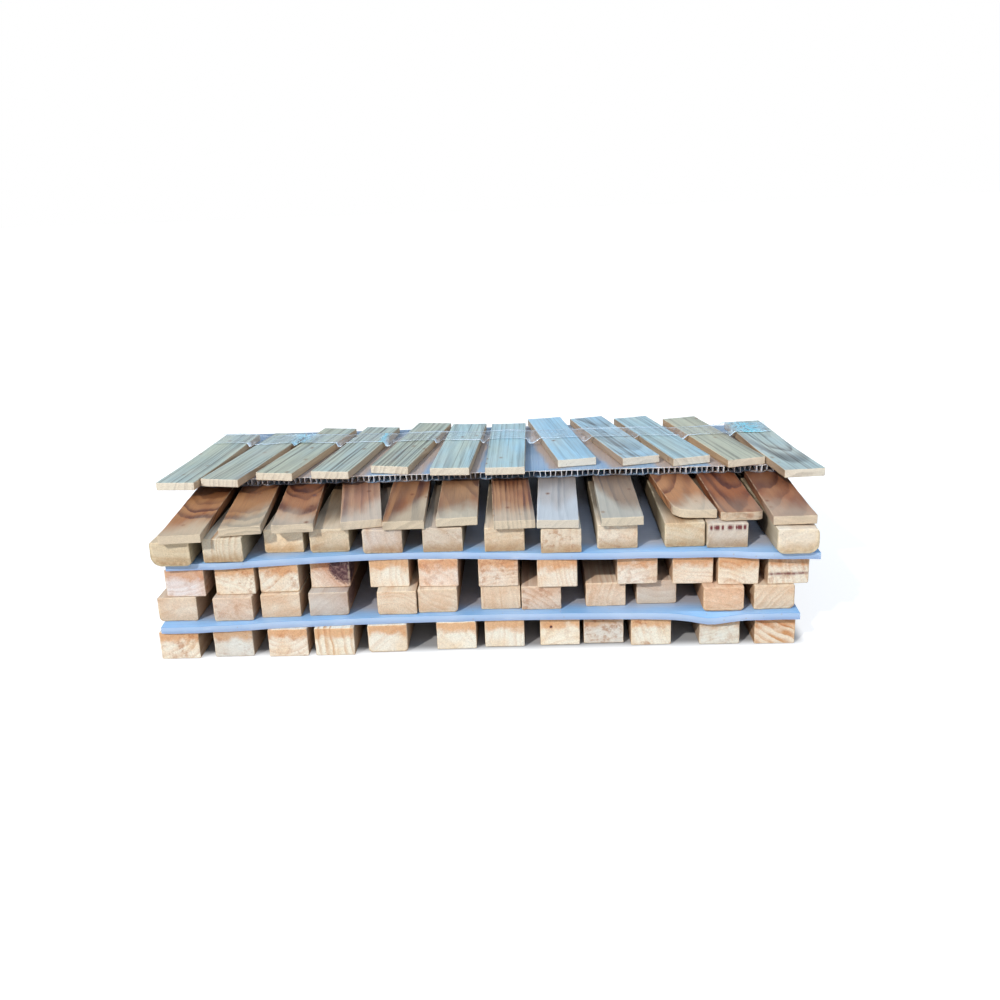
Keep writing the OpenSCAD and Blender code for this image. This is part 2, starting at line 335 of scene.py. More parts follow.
    # a dark saw line or a row of spots across an end
    mz, ms_, md = g.sep(g.attr("mark", "OBJECT"))
    dzm = g.m("DIVIDE", g.m("ADD", g.m("SUBTRACT", Z, mz), g.m("MULTIPLY", g.m("SUBTRACT", g.noise(stretched(0.3, 0.1), 1.0, 1.0), 0.5), 1.0)), g.m("ADD", 0.75, g.m("MULTIPLY", md, 0.75)))
    line = g.m("POWER", 2.718, g.m("MULTIPLY", g.m("MULTIPLY", dzm, dzm), -1.0))
    dots = g.ss(0.42, 0.56, g.noise1(g.m("ADD", g.m("MULTIPLY", X, 0.34), seed), 1.0, 1.0))
    line = g.m("MULTIPLY", g.m("MULTIPLY", line, g.m("MULTIPLY", ms_, end)), g.m("ADD", g.m("SUBTRACT", 1.0, md), g.m("MULTIPLY", md, dots)), clamp=True)
    col = g.mix(line, col, lin((112, 56, 56)))

    # knots: a dark hard core with its own rings, a reddish collar
    kedge = g.m("ADD", kdn, g.m("MULTIPLY", g.m("SUBTRACT", fleck, 0.5), 0.55))
    core = g.m("MULTIPLY", g.ss(1.06, 0.84, kedge), ks, clamp=True)
    collar = g.m("MULTIPLY", g.ss(2.0, 0.95, kedge), g.m("MULTIPLY", ks, 0.55), clamp=True)
    kring = g.m("ADD", 0.90, g.m("MULTIPLY", g.m("SINE", g.m("ADD", g.m("MULTIPLY", kd, 2.1), g.m("MULTIPLY", fleck, 5.0))), 0.12))
    col = g.mix(collar, col, g.mix(1.0, col, lin((205, 140, 100)), "MULTIPLY"))
    mottle = g.noise(g.vm("MULTIPLY", Q, (0.36, 0.30, 0.16)), 1.0, 4.0, 0.6, 0.8)
    bark = g.mix(g.ss(0.44, 0.66, mottle), lin((84, 54, 58)), lin((138, 108, 100)))
    bark = g.mix(g.m("MULTIPLY", g.ss(0.40, 0.30, mottle), 0.7), bark, lin((52, 32, 36)))
    col = g.mix(core, col, g.mix(1.0, bark, g.grey(kring), "MULTIPLY"))

    vn = g.n("ShaderNodeTexVoronoi", voronoi_dimensions="3D", feature="F1")
    g.put(vn.inputs["Vector"], g.vm("MULTIPLY", Q, (0.020, 0.020, 0.0125)))
    pick = g.m("MULTIPLY", g.ss(0.70, 0.74, g.sep(vn.outputs["Color"])[0]), g.m("SUBTRACT", 1.0, end))
    kd2 = g.m("ADD", vn.outputs["Distance"], g.m("MULTIPLY", g.m("SUBTRACT", fleck, 0.5), 0.03))
    ringlet = g.m("ADD", 0.85, g.m("MULTIPLY", g.m("SINE", g.m("MULTIPLY", vn.outputs["Distance"], 150.0)), 0.15))
    col = g.mix(g.m("MULTIPLY", pick, g.ss(0.24, 0.08, kd2, 0.0, 0.6)), col, g.mix(1.0, col, lin((196, 140, 98)), "MULTIPLY"))
    col = g.mix(g.m("MULTIPLY", pick, g.ss(0.085, 0.060, kd2, 0.0, 0.8)), col, g.mix(1.0, lin((104, 66, 46)), g.grey(ringlet), "MULTIPLY"))

    # a stain of its own on some ends
    stain = g.m("MULTIPLY", g.m("MULTIPLY", g.ss(0.50, 0.66, g.noise(stretched(0.16, 0.05), 1.0, 4.0, 0.7)), blot), end, clamp=True)
    col = g.mix(g.m("MULTIPLY", stain, 0.7), col, g.mix(1.0, col, lin((196, 140, 96)), "MULTIPLY"))

    # fine specks of dirt and pin marks, thicker on the cut ends
    speck = g.m("SUBTRACT", 1.0, g.ss(0.06, 0.15, g.voro(g.vm("MULTIPLY", Q, (0.42, 0.42, 0.30)))))
    speck = g.m("MULTIPLY", speck, g.ss(0.52, 0.66, g.noise(g.vm("MULTIPLY", Q, (0.09, 0.09, 0.05)), 1.0, 2.0)))
    col = g.mix(g.m("MULTIPLY", speck, 0.55), col, lin((86, 66, 56)))
    # worn, slightly furry arrises painted paler: wear with a painted highlight where the edges catch the light; they
    # pick up grime in places
    wear_and_highlight = g.m("MULTIPLY", edge, g.ss(0.35, 0.65, g.noise(g.vm("MULTIPLY", Q, (0.3, 0.3, 0.12)), 1.0, 3.0), 0.1, 1.0))
    col = g.mix(g.m("MULTIPLY", wear_and_highlight, 0.34), col, lin((246, 226, 188)))
    grime = g.m("MULTIPLY", edge, g.ss(0.58, 0.74, g.noise(g.vm("MULTIPLY", Q, (0.22, 0.22, 0.07)), 1.0, 4.0)))
    col = g.mix(g.m("MULTIPLY", grime, 0.40), col, lin((128, 96, 70)))

    # relief: raised latewood, fibres, and the saw's marks across the faces and the ends
    notend = g.m("SUBTRACT", 1.0, end, clamp=True)
    kerf = g.m("SINE", g.m("MULTIPLY", g.m("ADD", V, g.m("ADD", g.m("MULTIPLY", X, 0.10), g.m("MULTIPLY", low, 0.15))), 4.1))
    kerf = g.m("MULTIPLY", g.m("MULTIPLY", kerf, notend), g.ss(0.4, 0.7, g.noise(stretched(0.05, 0.03), 1.0, 2.0), 0.1, 0.55 * saw))
    cut = g.m("SINE", g.m("MULTIPLY", g.m("ADD", Z, g.m("ADD", g.m("MULTIPLY", X, 0.22), g.m("MULTIPLY", g.m("MULTIPLY", X, X), 0.012))), 7.5))
    cut = g.m("MULTIPLY", g.m("MULTIPLY", cut, end), 0.20)
    h = g.m("ADD", g.m("MULTIPLY", fibre, 0.9), g.m("MULTIPLY", fine, 0.5))
    h = g.m("ADD", h, g.m("MULTIPLY", late_f, 0.35))
    h = g.m("ADD", h, g.m("MULTIPLY", g.m("MULTIPLY", fleck, end), 0.9))
    h = g.m("ADD", h, g.m("ADD", kerf, cut))
    h = g.m("SUBTRACT", h, g.m("MULTIPLY", g.m("ADD", core, g.m("MULTIPLY", canal, 0.5)), 0.5))
    nrm = g.bump(h, 0.00022, 0.85)

    b = g.n("ShaderNodeBsdfPrincipled")
    g.put(b.inputs["Base Color"], col)
    ro = g.m("ADD", rough, g.m("SUBTRACT", g.m("MULTIPLY", fibre, 0.22), g.m("ADD", g.m("MULTIPLY", late_f, 0.10), 0.10)))
    g.put(b.inputs["Roughness"], ro)
    g.put(b.inputs["Normal"], nrm)
    b.inputs["Specular IOR Level"].default_value = 0.32
    if sheen_top:
        g.put(b.inputs["Coat Weight"], g.m("MULTIPLY", top, sheen_top))
        b.inputs["Coat Roughness"].default_value = 0.32
    g.out(b.outputs[0])
    return mat


MATS = {
    "base": pine("base_bar_pine", (228, 224, 213), (198, 156, 116), (244, 212, 172), (206, 206, 202), (246, 236, 212), saw=1.0, end_top_shade=0.8,
                 side_shade_tint=(168, 132, 98), darker_back=(5.0, 50.0, 0.9), darker_back_to=(150, 128, 108)),
    "lower": pine("lower_bar_pine", (220, 207, 189), (190, 146, 110), (240, 200, 160), (194, 188, 180), (246, 236, 212), saw=1.0, end_top_shade=0.2,
                  side_shade_tint=(176, 140, 104), darker_back=(5.0, 50.0, 0.9), darker_back_to=(150, 128, 108), low_end_shade=0.3),
    "centre": pine("centre_bar_pine", (226, 220, 208), (198, 156, 118), (246, 208, 166), (214, 210, 216), (246, 236, 212), saw=1.0, end_top_shade=0.8,
                   side_shade_tint=(176, 138, 102), darker_back=(5.0, 50.0, 0.9), darker_back_to=(150, 128, 108)),
    "upper": pine("upper_bar_pine", (222, 211, 195), (190, 148, 110), (240, 206, 162), (206, 202, 192), (246, 236, 212), saw=1.0, end_top_shade=0.0,
                  side_shade_tint=(176, 160, 132), darker_back=(4.0, 42.0, 0.95), darker_back_to=(112, 102, 88), low_end_shade=0.85),
    "mid": pine("mid_slat_pine", (170, 120, 80), (104, 58, 34), (214, 150, 100), (178, 180, 178), (206, 192, 168), rough=0.60, saw=0.6,
                end_tint=(212, 197, 172), end_mix=0.7, front_len=(42.0, 6.0), darker_back=(48.0, 96.0, 0.8), darker_back_to=(152, 136, 122)),
    "top": pine("top_slat_pine", (216, 200, 170), (150, 116, 84), (236, 200, 150), (190, 200, 198), (246, 236, 214), rough=0.50, saw=0.4,
                sheen_top=0.35, top_lit_tint=(178, 184, 164), top_sky_reflection=(156, 196, 212), side_shade_tint=(160, 128, 98), end_tint=(230, 221, 204), end_mix=0.7, lines=0.62, right_side_light=(214, 184, 150)),
}

# ---------------------------------------------------------------------------
# Timber: every stick is its own mesh, built where the CAD stick lies
# ---------------------------------------------------------------------------

CORNER = np.array([0.0, 0.423, 0.732, 1.0])


def stick(name, w, h, length, origin, turn, seed, r4=(1.0, 1.0, 1.0, 1.0), re=0.35, bend=None, nose=None, nx=8, nz=5, step=5.0):
    """A sawn stick in mm: across x, along y from 0, up z. r4 = radii of the long edges (left low, left top, right low, right top)."""
    rng = np.random.default_rng(seed)
    vy = [0.0, 0.423, 0.732, 1.0]
    front = [1.3, 2.0, 3.0, 4.4, 6.2, 8.6, 11.6, 15.2]
    body = list(np.arange(19.5, length - 19.0, step))
    back = [length - v for v in reversed(front)]
    nyc = len(front) + len(body) + len(back)
    nI, nJ, nK = 8 + nx - 1, 8 + nz - 1, 8 + nyc - 1
    I, J, K = np.meshgrid(np.arange(nI + 1), np.arange(nJ + 1), np.arange(nK + 1), indexing="ij")
    on = (I == 0) | (I == nI) | (J == 0) | (J == nJ) | (K == 0) | (K == nK)
    index = np.full(I.shape, -1, np.int64)
    index[on] = np.arange(on.sum())
    i, j, k = I[on], J[on], K[on]
    ti, tj = i / nI, j / nJ

    inner_y = np.array(front + body + back)
    y = np.empty(len(i))
    lo_z, hi_z = k < 4, k > nK - 4
    midk = ~(lo_z | hi_z)
    y[midk] = inner_y[k[midk] - 4]

    # radii wander along the stick, with a few knocks
    r = np.zeros(len(i))
    yy = np.where(lo_z, 0.0, np.where(hi_z, length, y))
    for (a, b), r0 in zip(((0, 0), (0, 1), (1, 0), (1, 1)), r4):
        f = wave(rng, (73, 31, 12), (0.16, 0.14, 0.10))
        rr = r0 * (1 + f(yy))
        for _ in range(3):
            c, s, d = rng.uniform(0, length), rng.uniform(1.5, 5), rng.uniform(0.1, 0.7) * min(1.0, h / 14)
            rr = rr + d * np.exp(-(((yy - c) / s) ** 2))
        wt = (ti if a else 1 - ti) * (tj if b else 1 - tj)
        r = r + wt * rr
    r = np.clip(r, 0.12, min(w, h) * 0.42)
    ex, ez = wave(rng, (17, 6, 2.7), (0.22, 0.25, 0.22)), wave(rng, (11, 4, 2.1), (0.2, 0.22, 0.2))
    ry = re * (1 + ex(ti * w + 40 * (k > nK / 2)) + ez(tj * h + 30 * (k > nK / 2)))
    ry = np.clip(ry, 0.08, 0.95)

    cf = CORNER
    x = np.empty(len(i))
    L, Rr = i < 4, i > nI - 4
    x[L] = -w / 2 + r[L] * cf[i[L]]
    x[Rr] = w / 2 - r[Rr] * cf[nI - i[Rr]]
    M = ~(L | Rr)
    fx = (i[M] - 3) / (nI - 6)
    x[M] = (-w / 2 + r[M]) * (1 - fx) + (w / 2 - r[M]) * fx
    z = np.empty(len(i))
    L2, R2 = j < 4, j > nJ - 4
    z[L2] = r[L2] * cf[j[L2]]
    z[R2] = h - r[R2] * cf[nJ - j[R2]]
    M2 = ~(L2 | R2)
    fz = (j[M2] - 3) / (nJ - 6)
    z[M2] = r[M2] * (1 - fz) + (h - r[M2]) * fz
    y[lo_z] = ry[lo_z] * cf[k[lo_z]]
    y[hi_z] = length - ry[hi_z] * cf[nK - k[hi_z]]

    ix, iz, iy = np.clip(x, -w / 2 + r, w / 2 - r), np.clip(z, r, h - r), np.clip(y, ry, length - ry)
    d = np.stack([(x - ix) / r, (y - iy) / ry, (z - iz) / r], 1)
    mx = np.abs(d).max(1)
    ln = np.maximum(np.linalg.norm(d, axis=1), 1e-9)
    u = d / ln[:, None] * mx[:, None]
    p = np.stack([ix + u[:, 0] * r, iy + u[:, 1] * ry, iz + u[:, 2] * r], 1)

    # worn edge amount, before anything bends
    away = np.abs(u)
    second = np.sort(away, axis=1)[:, 1]
    edge = np.clip(second * 1.8, 0, 1)
    endm = np.where(away[:, 1] > 0.70, 1.0, 0.0)
    topm = np.where(u[:, 2] > 0.62, 1.0, 0.0)
    wpos = np.stack([p[:, 0], p[:, 2] - h / 2, p[:, 1]], 1)

    # the sawn faces aren't flat: they dip a little, never standing out past the nominal size
    fa, fb = wave(rng, (61, 23, 9), (0.05, 0.04, 0.03)), wave(rng, (47, 19, 8), (0.05, 0.04, 0.03))
    dip = 0.13 + fa(p[:, 1] + 3 * p[:, 0]) * 0.9
    dip2 = 0.13 + fb(p[:, 1] + 5 * p[:, 2]) * 0.9
    p[:, 2] -= np.clip(dip, 0.0, 0.3) * np.clip((p[:, 2] / h - 0.5) * 2, 0, 1) ** 3 * (1 - (2 * p[:, 0] / w) ** 2 * 0.7)
    p[:, 0] -= np.sign(p[:, 0]) * np.clip(dip2, 0.0, 0.3) * np.clip(np.abs(2 * p[:, 0] / w), 0, 1) ** 6
    # the cut ends are a touch out of square, with a slightly rough face
    a1, b1 = rng.uniform(-0.018, 0.018), rng.uniform(-0.02, 0.02)
    a2, b2 = rng.uniform(-0.015, 0.015), rng.uniform(-0.02, 0.02)
    fe, ge = wave(rng, (9, 4, 2.2), (0.05, 0.05, 0.04)), wave(rng, (7, 3.1, 1.9), (0.05, 0.04, 0.04))
    rough_face = 0.13 + fe(p[:, 0]) * 0.8 + ge(p[:, 2] + 0.4 * p[:, 0]) * 0.8
    infront = smooth(10.0, 0.0, p[:, 1])
    inback = smooth(length - 10.0, length, p[:, 1])
    p[:, 1] += infront * (a1 * p[:, 0] + b1 * (p[:, 2] - h / 2) + abs(a1) * w / 2 + abs(b1) * h / 2 + np.clip(rough_face, 0, 0.4) * smooth(1.4, 0.0, p[:, 1]))
    p[:, 1] -= inback * (a2 * p[:, 0] + b2 * (p[:, 2] - h / 2) + abs(a2) * w / 2 + abs(b2) * h / 2 + np.clip(rough_face, 0, 0.4) * smooth(length - 1.4, length, p[:, 1]))
    if nose is not None:
        p = nose(p)
    if bend is not None:
        p = bend(p)

    # into the row frame
    c, s = math.cos(math.radians(turn)), math.sin(math.radians(turn))
    gx = origin[0] + (p[:, 0] * c + p[:, 1] * s) * MM
    gy = origin[1] + (-p[:, 0] * s + p[:, 1] * c) * MM
    gz = origin[2] + p[:, 2] * MM
    co = np.stack([gx, gy, gz], 1)

    def side(sl, flip):
        ix_ = index[sl]
        a, b_, c_, d_ = ix_[:-1, :-1], ix_[1:, :-1], ix_[1:, 1:], ix_[:-1, 1:]
        q = np.stack([a, b_, c_, d_], -1).reshape(-1, 4)
        return q[:, ::-1] if flip else q

    quads = np.concatenate([
        side(np.s_[:, :, 0], False), side(np.s_[:, :, nK], True),
        side(np.s_[0, :, :], True), side(np.s_[nI, :, :], False),
        side(np.s_[:, 0, :], True), side(np.s_[:, nJ, :], False),
    ])
    # (i, j) at k = 0 runs x then z: its normal is -y when taken in this order; fixed for all below
    ob = new_mesh(name, co, quads, {"wpos": wpos, "fmask": np.stack([topm, endm, edge], 1)})
    return ob


def fix_normals(ob):
    import bmesh
    bm = bmesh.new()
    bm.from_mesh(ob.data)
    bmesh.ops.recalc_face_normals(bm, faces=bm.faces)
    bm.to_mesh(ob.data)
    bm.free()


def bars_in(node):
    """(lowest corner, highest corner) in mm of each bar in a CAD node that groups several, left to right."""
    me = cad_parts[node].data
    co = np.array([v.co for v in me.vertices], float) / MM
    spans = sorted((min(co[v][0] for v in p.vertices), max(co[v][0] for v in p.vertices)) for p in me.polygons)
    merged = []
    for a, b in spans:
        if merged and a <= merged[-1][1] + 0.15:
            merged[-1][1] = max(merged[-1][1], b)
        else:
            merged.append([a, b])
    out = []
    for a, b in merged:
        part = co[(co[:, 0] >= a - 0.01) & (co[:, 0] <= b + 0.01)]
        out.append((part.min(0), part.max(0)))
    return out


def spec(**k):
    d = dict(pith=(0, -40, 4.0), tilt=(0.0, 0.02), tint=(1, 1, 1), look=(0.9, 0.0, 0.0), knot=(0, 0, -500), knotr=(1, 0, 0), mark=(0, 0, 0), fade=(0, 0, 0), r=(0.9, 0.9, 0.9, 0.9))
    d.update(k)
    return d


# One entry a stick, left to right: where the pith lies, ring width, how the grain runs, colour, knots
S = spec
BASE = [
    S(pith=(-22, 26, 5.2), tint=(1.0, 0.95, 0.88), look=(0.75, 0, 0), knotr=(1, 0, 0.8)),
    S(pith=(14, 58, 4.0), tint=(0.94, 0.95, 0.95), look=(0.55, 0.35, 0), knotr=(1, 0, 0.4)),
    S(pith=(-3, 22, 3.6), tint=(1.0, 0.94, 0.88), look=(0.75, 0, 0), knotr=(1, 0, 0.6)),
    S(pith=(120, 8, 4.4), tint=(1.0, 0.97, 0.9), look=(1.2, 0, 0)),
    S(pith=(30, -48, 5.0), tint=(1.0, 0.97, 0.92), look=(0.45, 0.05, 0), r=(2.2, 0.8, 2.4, 0.8)),
    S(pith=(-60, -50, 4.5), tint=(1.02, 1.0, 0.95), look=(0.4, 0, 0)),
    S(pith=(-95, 14, 4.2), tint=(1.0, 0.98, 0.93), look=(0.6, 0.05, 0)),
    S(pith=(20, -62, 5.0), tint=(1.02, 0.98, 0.9), look=(0.5, 0, 0), knot=(-6, 3.5, 0), knotr=(0.9, 1, 0.3)),
    S(pith=(8, -70, 2.8), tint=(0.92, 0.90, 0.88), look=(0.6, 0.4, 0), knotr=(1, 0, 0.9)),
    S(pith=(75, 20, 4.2), tint=(1.0, 0.98, 0.92), look=(0.75, 0.05, 0), knotr=(1, 0, 0.9)),
    S(pith=(-30, 62, 3.6), tint=(0.95, 0.97, 0.95), look=(0.6, 0.35, 0), knotr=(1, 0, 0.5)),
    S(pith=(46, 84, 4.6), tint=(0.96, 0.86, 0.76), look=(2.0, 0, 0), r=(0.8, 0.8, 0.9, 0.8)),
]
LOWER = [
    S(pith=(24, -60, 4.6), tint=(1.0, 0.98, 0.94), look=(0.45, 0.1, 0), r=(3.2, 0.9, 1.6, 0.9)),
    S(pith=(-20, -52, 3.8), tint=(0.99, 0.93, 0.90), look=(0.55, 0.15, 0), knotr=(1, 0, 0.5), r=(1.6, 0.9, 1.2, 0.9)),
    S(pith=(-8, 26, 4.0), tint=(1.0, 0.96, 0.9), look=(0.7, 0.05, 0)),
    S(pith=(40, -50, 4.4), tint=(0.90, 0.89, 0.90), look=(0.5, 0.5, 0), knot=(15.5, 3.0, 16.0), knotr=(8.5, 0.6, 0), r=(1.4, 0.8, 2.2, 0.8)),
    S(pith=(-6, -24, 3.8), tint=(1.0, 0.95, 0.88), look=(0.75, 0, 0), r=(2.8, 0.8, 1.4, 0.8)),
    S(pith=(30, 50, 4.2), tint=(1.0, 0.96, 0.9), look=(0.65, 0, 0), r=(1.2, 0.8, 2.6, 0.8)),
    S(pith=(100, 6, 3.9), tint=(1.0, 0.95, 0.88), look=(0.7, 0, 0)),
    S(pith=(-34, -44, 3.4), tint=(0.98, 0.92, 0.89), look=(0.7, 0.12, 0), knotr=(1, 0, 0.7)),
    S(pith=(84, -16, 4.0), tint=(1.0, 0.94, 0.88), look=(0.85, 0, 0), knotr=(1, 0, 0.3)),
    S(pith=(2, 22, 4.6), tint=(0.90, 0.88, 0.86), look=(0.65, 0.4, 0), r=(1.2, 0.8, 1.8, 0.8)),
    S(pith=(-18, -66, 4.4), tint=(1.02, 0.90, 0.82), look=(0.75, 0, 0), r=(2.8, 0.9, 2.4, 0.9)),
    S(pith=(60, -58, 4.2), tint=(1.0, 0.94, 0.86), look=(0.7, 0, 0), r=(1.4, 0.9, 3.4, 0.9)),
]
CENTRE = [
    S(pith=(-10, 30, 4.6), tint=(0.99, 0.95, 0.98), look=(0.8, 0.22, 0), knotr=(1, 0, 0.4), r=(2.0, 1.6, 1.0, 0.9)),
    S(pith=(-20, -50, 4.8), tint=(1.0, 0.97, 0.90), look=(0.65, 0, 0), knotr=(1, 0, 0.8)),
    S(pith=(-34, 44, 5.2), tint=(1.0, 0.98, 0.93), look=(0.75, 0, 0), knotr=(1, 0, 0.6), r=(1.0, 0.9, 2.0, 0.9)),
    S(pith=(-26, -22, 5.0), tint=(1.0, 0.96, 0.93), look=(0.6, 0, 0), knot=(12.0, 6.0, 3.0), knotr=(13.6, 1.0, 0.3), r=(1.0, 0.9, 2.4, 2.0)),
    S(pith=(110, 0, 4.0), tint=(1.0, 0.98, 0.93), look=(0.85, 0, 0)),
    S(pith=(-30, -46, 4.6), tint=(1.0, 0.90, 0.86), look=(0.75, 0, 0), knotr=(1, 0, 0.5)),
    S(pith=(6, -90, 3.0), tint=(1.0, 0.96, 0.92), look=(0.95, 0.05, 0), knotr=(1, 0, 0.8)),
    S(pith=(90, 12, 3.2), tint=(1.0, 0.96, 0.91), look=(0.7, 0, 0)),
    S(pith=(24, -80, 4.2), tint=(1.0, 0.96, 0.92), look=(0.65, 0.04, 0), knotr=(1, 0, 0.5), r=(1.0, 0.9, 1.0, 0.9)),
    S(pith=(18, 66, 4.6), tint=(1.0, 0.92, 0.84), look=(0.7, 0, 0)),
    S(pith=(-14, -34, 4.2), tint=(1.0, 0.93, 0.84), look=(0.75, 0, 0), knotr=(1, 0, 0.5)),
    S(pith=(100, 20, 3.6), tint=(1.0, 0.95, 0.88), look=(0.9, 0, 0), knotr=(1, 0, 0.6), mark=(-2.8, 0.9, 0.35)),
]
UPPER = [
    S(pith=(4, 70, 4.6), tint=(0.86, 0.80, 0.66), look=(0.75, 0, 0), r=(6.4, 1.2, 4.2, 1.0)),
    S(pith=(100, -6, 3.3), tint=(0.89, 0.87, 0.79), look=(1.1, 0, 0), r=(1.0, 0.9, 1.4, 0.9)),
    # this bar's tint is raised above one: painted light on its end, which otherwise lies partly in shade
    S(pith=(30, -36, 4.4), tint=(1.14, 1.07, 0.92), look=(0.5, 0, 0), r=(2.6, 1.0, 1.0, 0.9)),
    S(pith=(10, -64, 5.4), tint=(0.86, 0.80, 0.69), look=(0.7, 0, 0), r=(2.0, 0.9, 2.2, 0.9)),
    S(pith=(110, 20, 6.4), tint=(0.84, 0.80, 0.81), look=(0.7, 0.1, 0), r=(2.4, 0.9, 1.0, 0.9)),
    S(pith=(-40, -52, 4.2), tint=(0.84, 0.80, 0.76), look=(0.5, 0.12, 0), knotr=(1, 0, 0.4)),
    S(pith=(6, -58, 5.6), tint=(0.93, 0.90, 0.83), look=(0.7, 0.05, 0), knotr=(1, 0, 0.3)),
    S(pith=(-80, 8, 5.4), tint=(0.94, 0.90, 0.84), look=(0.9, 0.05, 0), knotr=(1, 0, 0.8)),
    S(pith=(4, 24, 4.4), tint=(1.0, 0.97, 0.92), look=(0.75, 0.05, 0), knotr=(1, 0, 0.4), r=(2.2, 0.9, 1.2, 0.9)),
    S(pith=(-24, -62, 3.6), tint=(0.88, 0.85, 0.75), look=(0.75, 0, 0), r=(2.4, 0.9, 0.9, 0.9)),
    S(pith=(60, -40, 4.4), tint=(0.85, 0.82, 0.80), look=(0.55, 0.2, 0), mark=(5.6, 1.5, 1)),
    S(pith=(30, -80, 5.0), tint=(1.02, 1.0, 0.95), look=(0.35, 0.1, 0), r=(3.6, 1.0, 6.6, 2.6)),
]
MID = [
    S(pith=(3, -46, 4.6), tilt=(0.01, 0.20), tint=(1.04, 1.0, 0.88), look=(1.6, 0.0, 0.85), fade=(-0.5, 0.4, 0)),
    S(pith=(-2, -40, 5.0), tilt=(0.02, 0.22), tint=(0.92, 0.90, 0.80), look=(1.6, 0.0, 0.85), fade=(-1.2, -0.3, 0)),
    S(pith=(2, -34, 4.2), tilt=(-0.02, 0.18), tint=(0.96, 0.92, 0.92), look=(2.2, 0.0, 0.85), knot=(9, 4, 62), knotr=(2.0, 0.7, 0), fade=(0.3, 0.5, 0)),
    S(pith=(60, -20, 5.0), tilt=(0.0, 0.02), tint=(1.04, 1.02, 1.02), look=(1.2, 0.12, 0.85), fade=(-1.3, -0.6, 0)),
    S(pith=(26, -46, 6.0), tilt=(0.16, 0.10), tint=(0.80, 0.75, 0.64), look=(1.9, 0.0, 0.90), fade=(-2.2, -0.2, 0)),
    S(pith=(20, -50, 5.6), tilt=(0.0, 0.12), tint=(0.84, 0.88, 0.85), look=(1.3, 0.05, 1.0), fade=(-0.3, 0.3, 0)),
    S(pith=(90, 2, 3.4), tilt=(0.0, 0.0), tint=(1.02, 1.02, 1.0), look=(1.8, 0.04, 0.80), fade=(0.2, 0.0, 0)),
    S(pith=(40, -34, 5.0), tilt=(0.05, 0.05), tint=(0.98, 1.02, 1.06), look=(1.2, 0.70, 0.9), fade=(-0.6, -1.6, 0)),
    S(pith=(36, -30, 5.0), tilt=(0.0, 0.05), tint=(0.70, 0.73, 0.68), look=(1.2, 0.30, 1.0), fade=(1.6, -1.6, 0)),
    S(pith=(-20, -48, 5.2), tilt=(0.0, 0.16), tint=(1.12, 1.08, 1.04), look=(0.95, 0.0, 0.95), fade=(-0.7, 0.4, 0)),
    S(pith=(4, -24, 4.4), tilt=(0.02, 0.08), tint=(0.78, 0.56, 0.44), look=(1.5, 0.0, 0.35), knot=(5, 0.5, 3), knotr=(1.9, 1.0, 0.5), r=(0.6, 0.6, 0.6, 1.0)),
    S(pith=(-14, -44, 5.0), tilt=(0.0, 0.14), tint=(0.92, 0.82, 0.77), look=(1.1, 0.05, 0.60), fade=(0.7, 0.0, 0)),
]
TOP = [
    S(pith=(70, -16, 4.4), tilt=(0.02, 0.0), tint=(0.98, 1.02, 1.02), look=(1.1, 0.14, 0)),
    S(pith=(70, -10, 4.0), tilt=(0.02, 0.0), tint=(0.92, 0.94, 0.95), look=(1.35, 0.14, 0)),
    S(pith=(46, -30, 4.0), tilt=(0.03, 0.02), tint=(0.98, 0.98, 0.94), look=(1.2, 0.08, 0)),
    S(pith=(60, -20, 4.0), tilt=(0.04, 0.0), tint=(0.95, 1.0, 1.02), look=(1.3, 0.12, 0)),
    S(pith=(56, -20, 4.2), tilt=(0.03, 0.02), tint=(0.92, 0.96, 0.96), look=(1.4, 0.08, 0)),
    S(pith=(30, -40, 5.0), tilt=(0.0, 0.08), tint=(0.98, 1.02, 1.0), look=(0.8, 0.38, 0)),
    S(pith=(60, -22, 5.0), tilt=(0.0, 0.03), tint=(0.98, 1.03, 1.02), look=(0.8, 0.48, 0)),
    S(pith=(30, -40, 6.0), tilt=(0.0, 0.04), tint=(0.96, 1.02, 1.08), look=(0.45, 0.62, 0)),
    S(pith=(3, -34, 4.6), tilt=(0.0, 0.14), tint=(0.95, 0.98, 1.04), look=(1.2, 0.48, 0)),
    S(pith=(-50, -26, 4.4), tilt=(-0.04, 0.03), tint=(0.98, 1.02, 1.02), look=(1.0, 0.46, 0)),
    S(pith=(30, -60, 5.0), tilt=(0.0, 0.02), tint=(0.99, 0.96, 0.92), look=(0.8, 0.0, 0)),
    S(pith=(4, -28, 5.0), tilt=(0.02, 0.13), tint=(0.97, 0.98, 0.98), look=(1.2, 0.24, 0)),
]
MID_TURN = [-4, -6, -6, -9, -2.5, -1.5, -2.5, 1.5, 0.5, -4, -0.5, 2]
TOP_TURN = [6, 10, 11.5, 9.5, 10, 3.5, 0.5, -9.5, -14.5, -14, -13, -7]


def dress(ob, s, family, seed):
    ob["pith"] = [float(v) for v in s["pith"]]
    ob["tilt"] = [float(s["tilt"][0]), float(s["tilt"][1]), float(seed)]
    ob["tint"] = [float(v) for v in s["tint"]]
    ob["look"] = [float(v) for v in s["look"]]
    ob["knot"] = [float(v) for v in s["knot"]]
    ob["knotr"] = [float(v) for v in s["knotr"]]
    ob["mark"] = [float(v) for v in s["mark"]]
    ob["fade"] = [float(v) for v in s["fade"]]
    ob.data.materials.append(MATS[family])


def lifted(amount, skew=0.0, over=80.0, w=28.0):
    """Front of a slat springs up off what it lies on: nothing at `over` mm back, most at the end."""

    def f(p):
        t = np.clip(1 - p[:, 1] / over, 0, 1) ** 2
        p[:, 2] += t * (amount + skew * p[:, 0] / w)
        return p

    return f


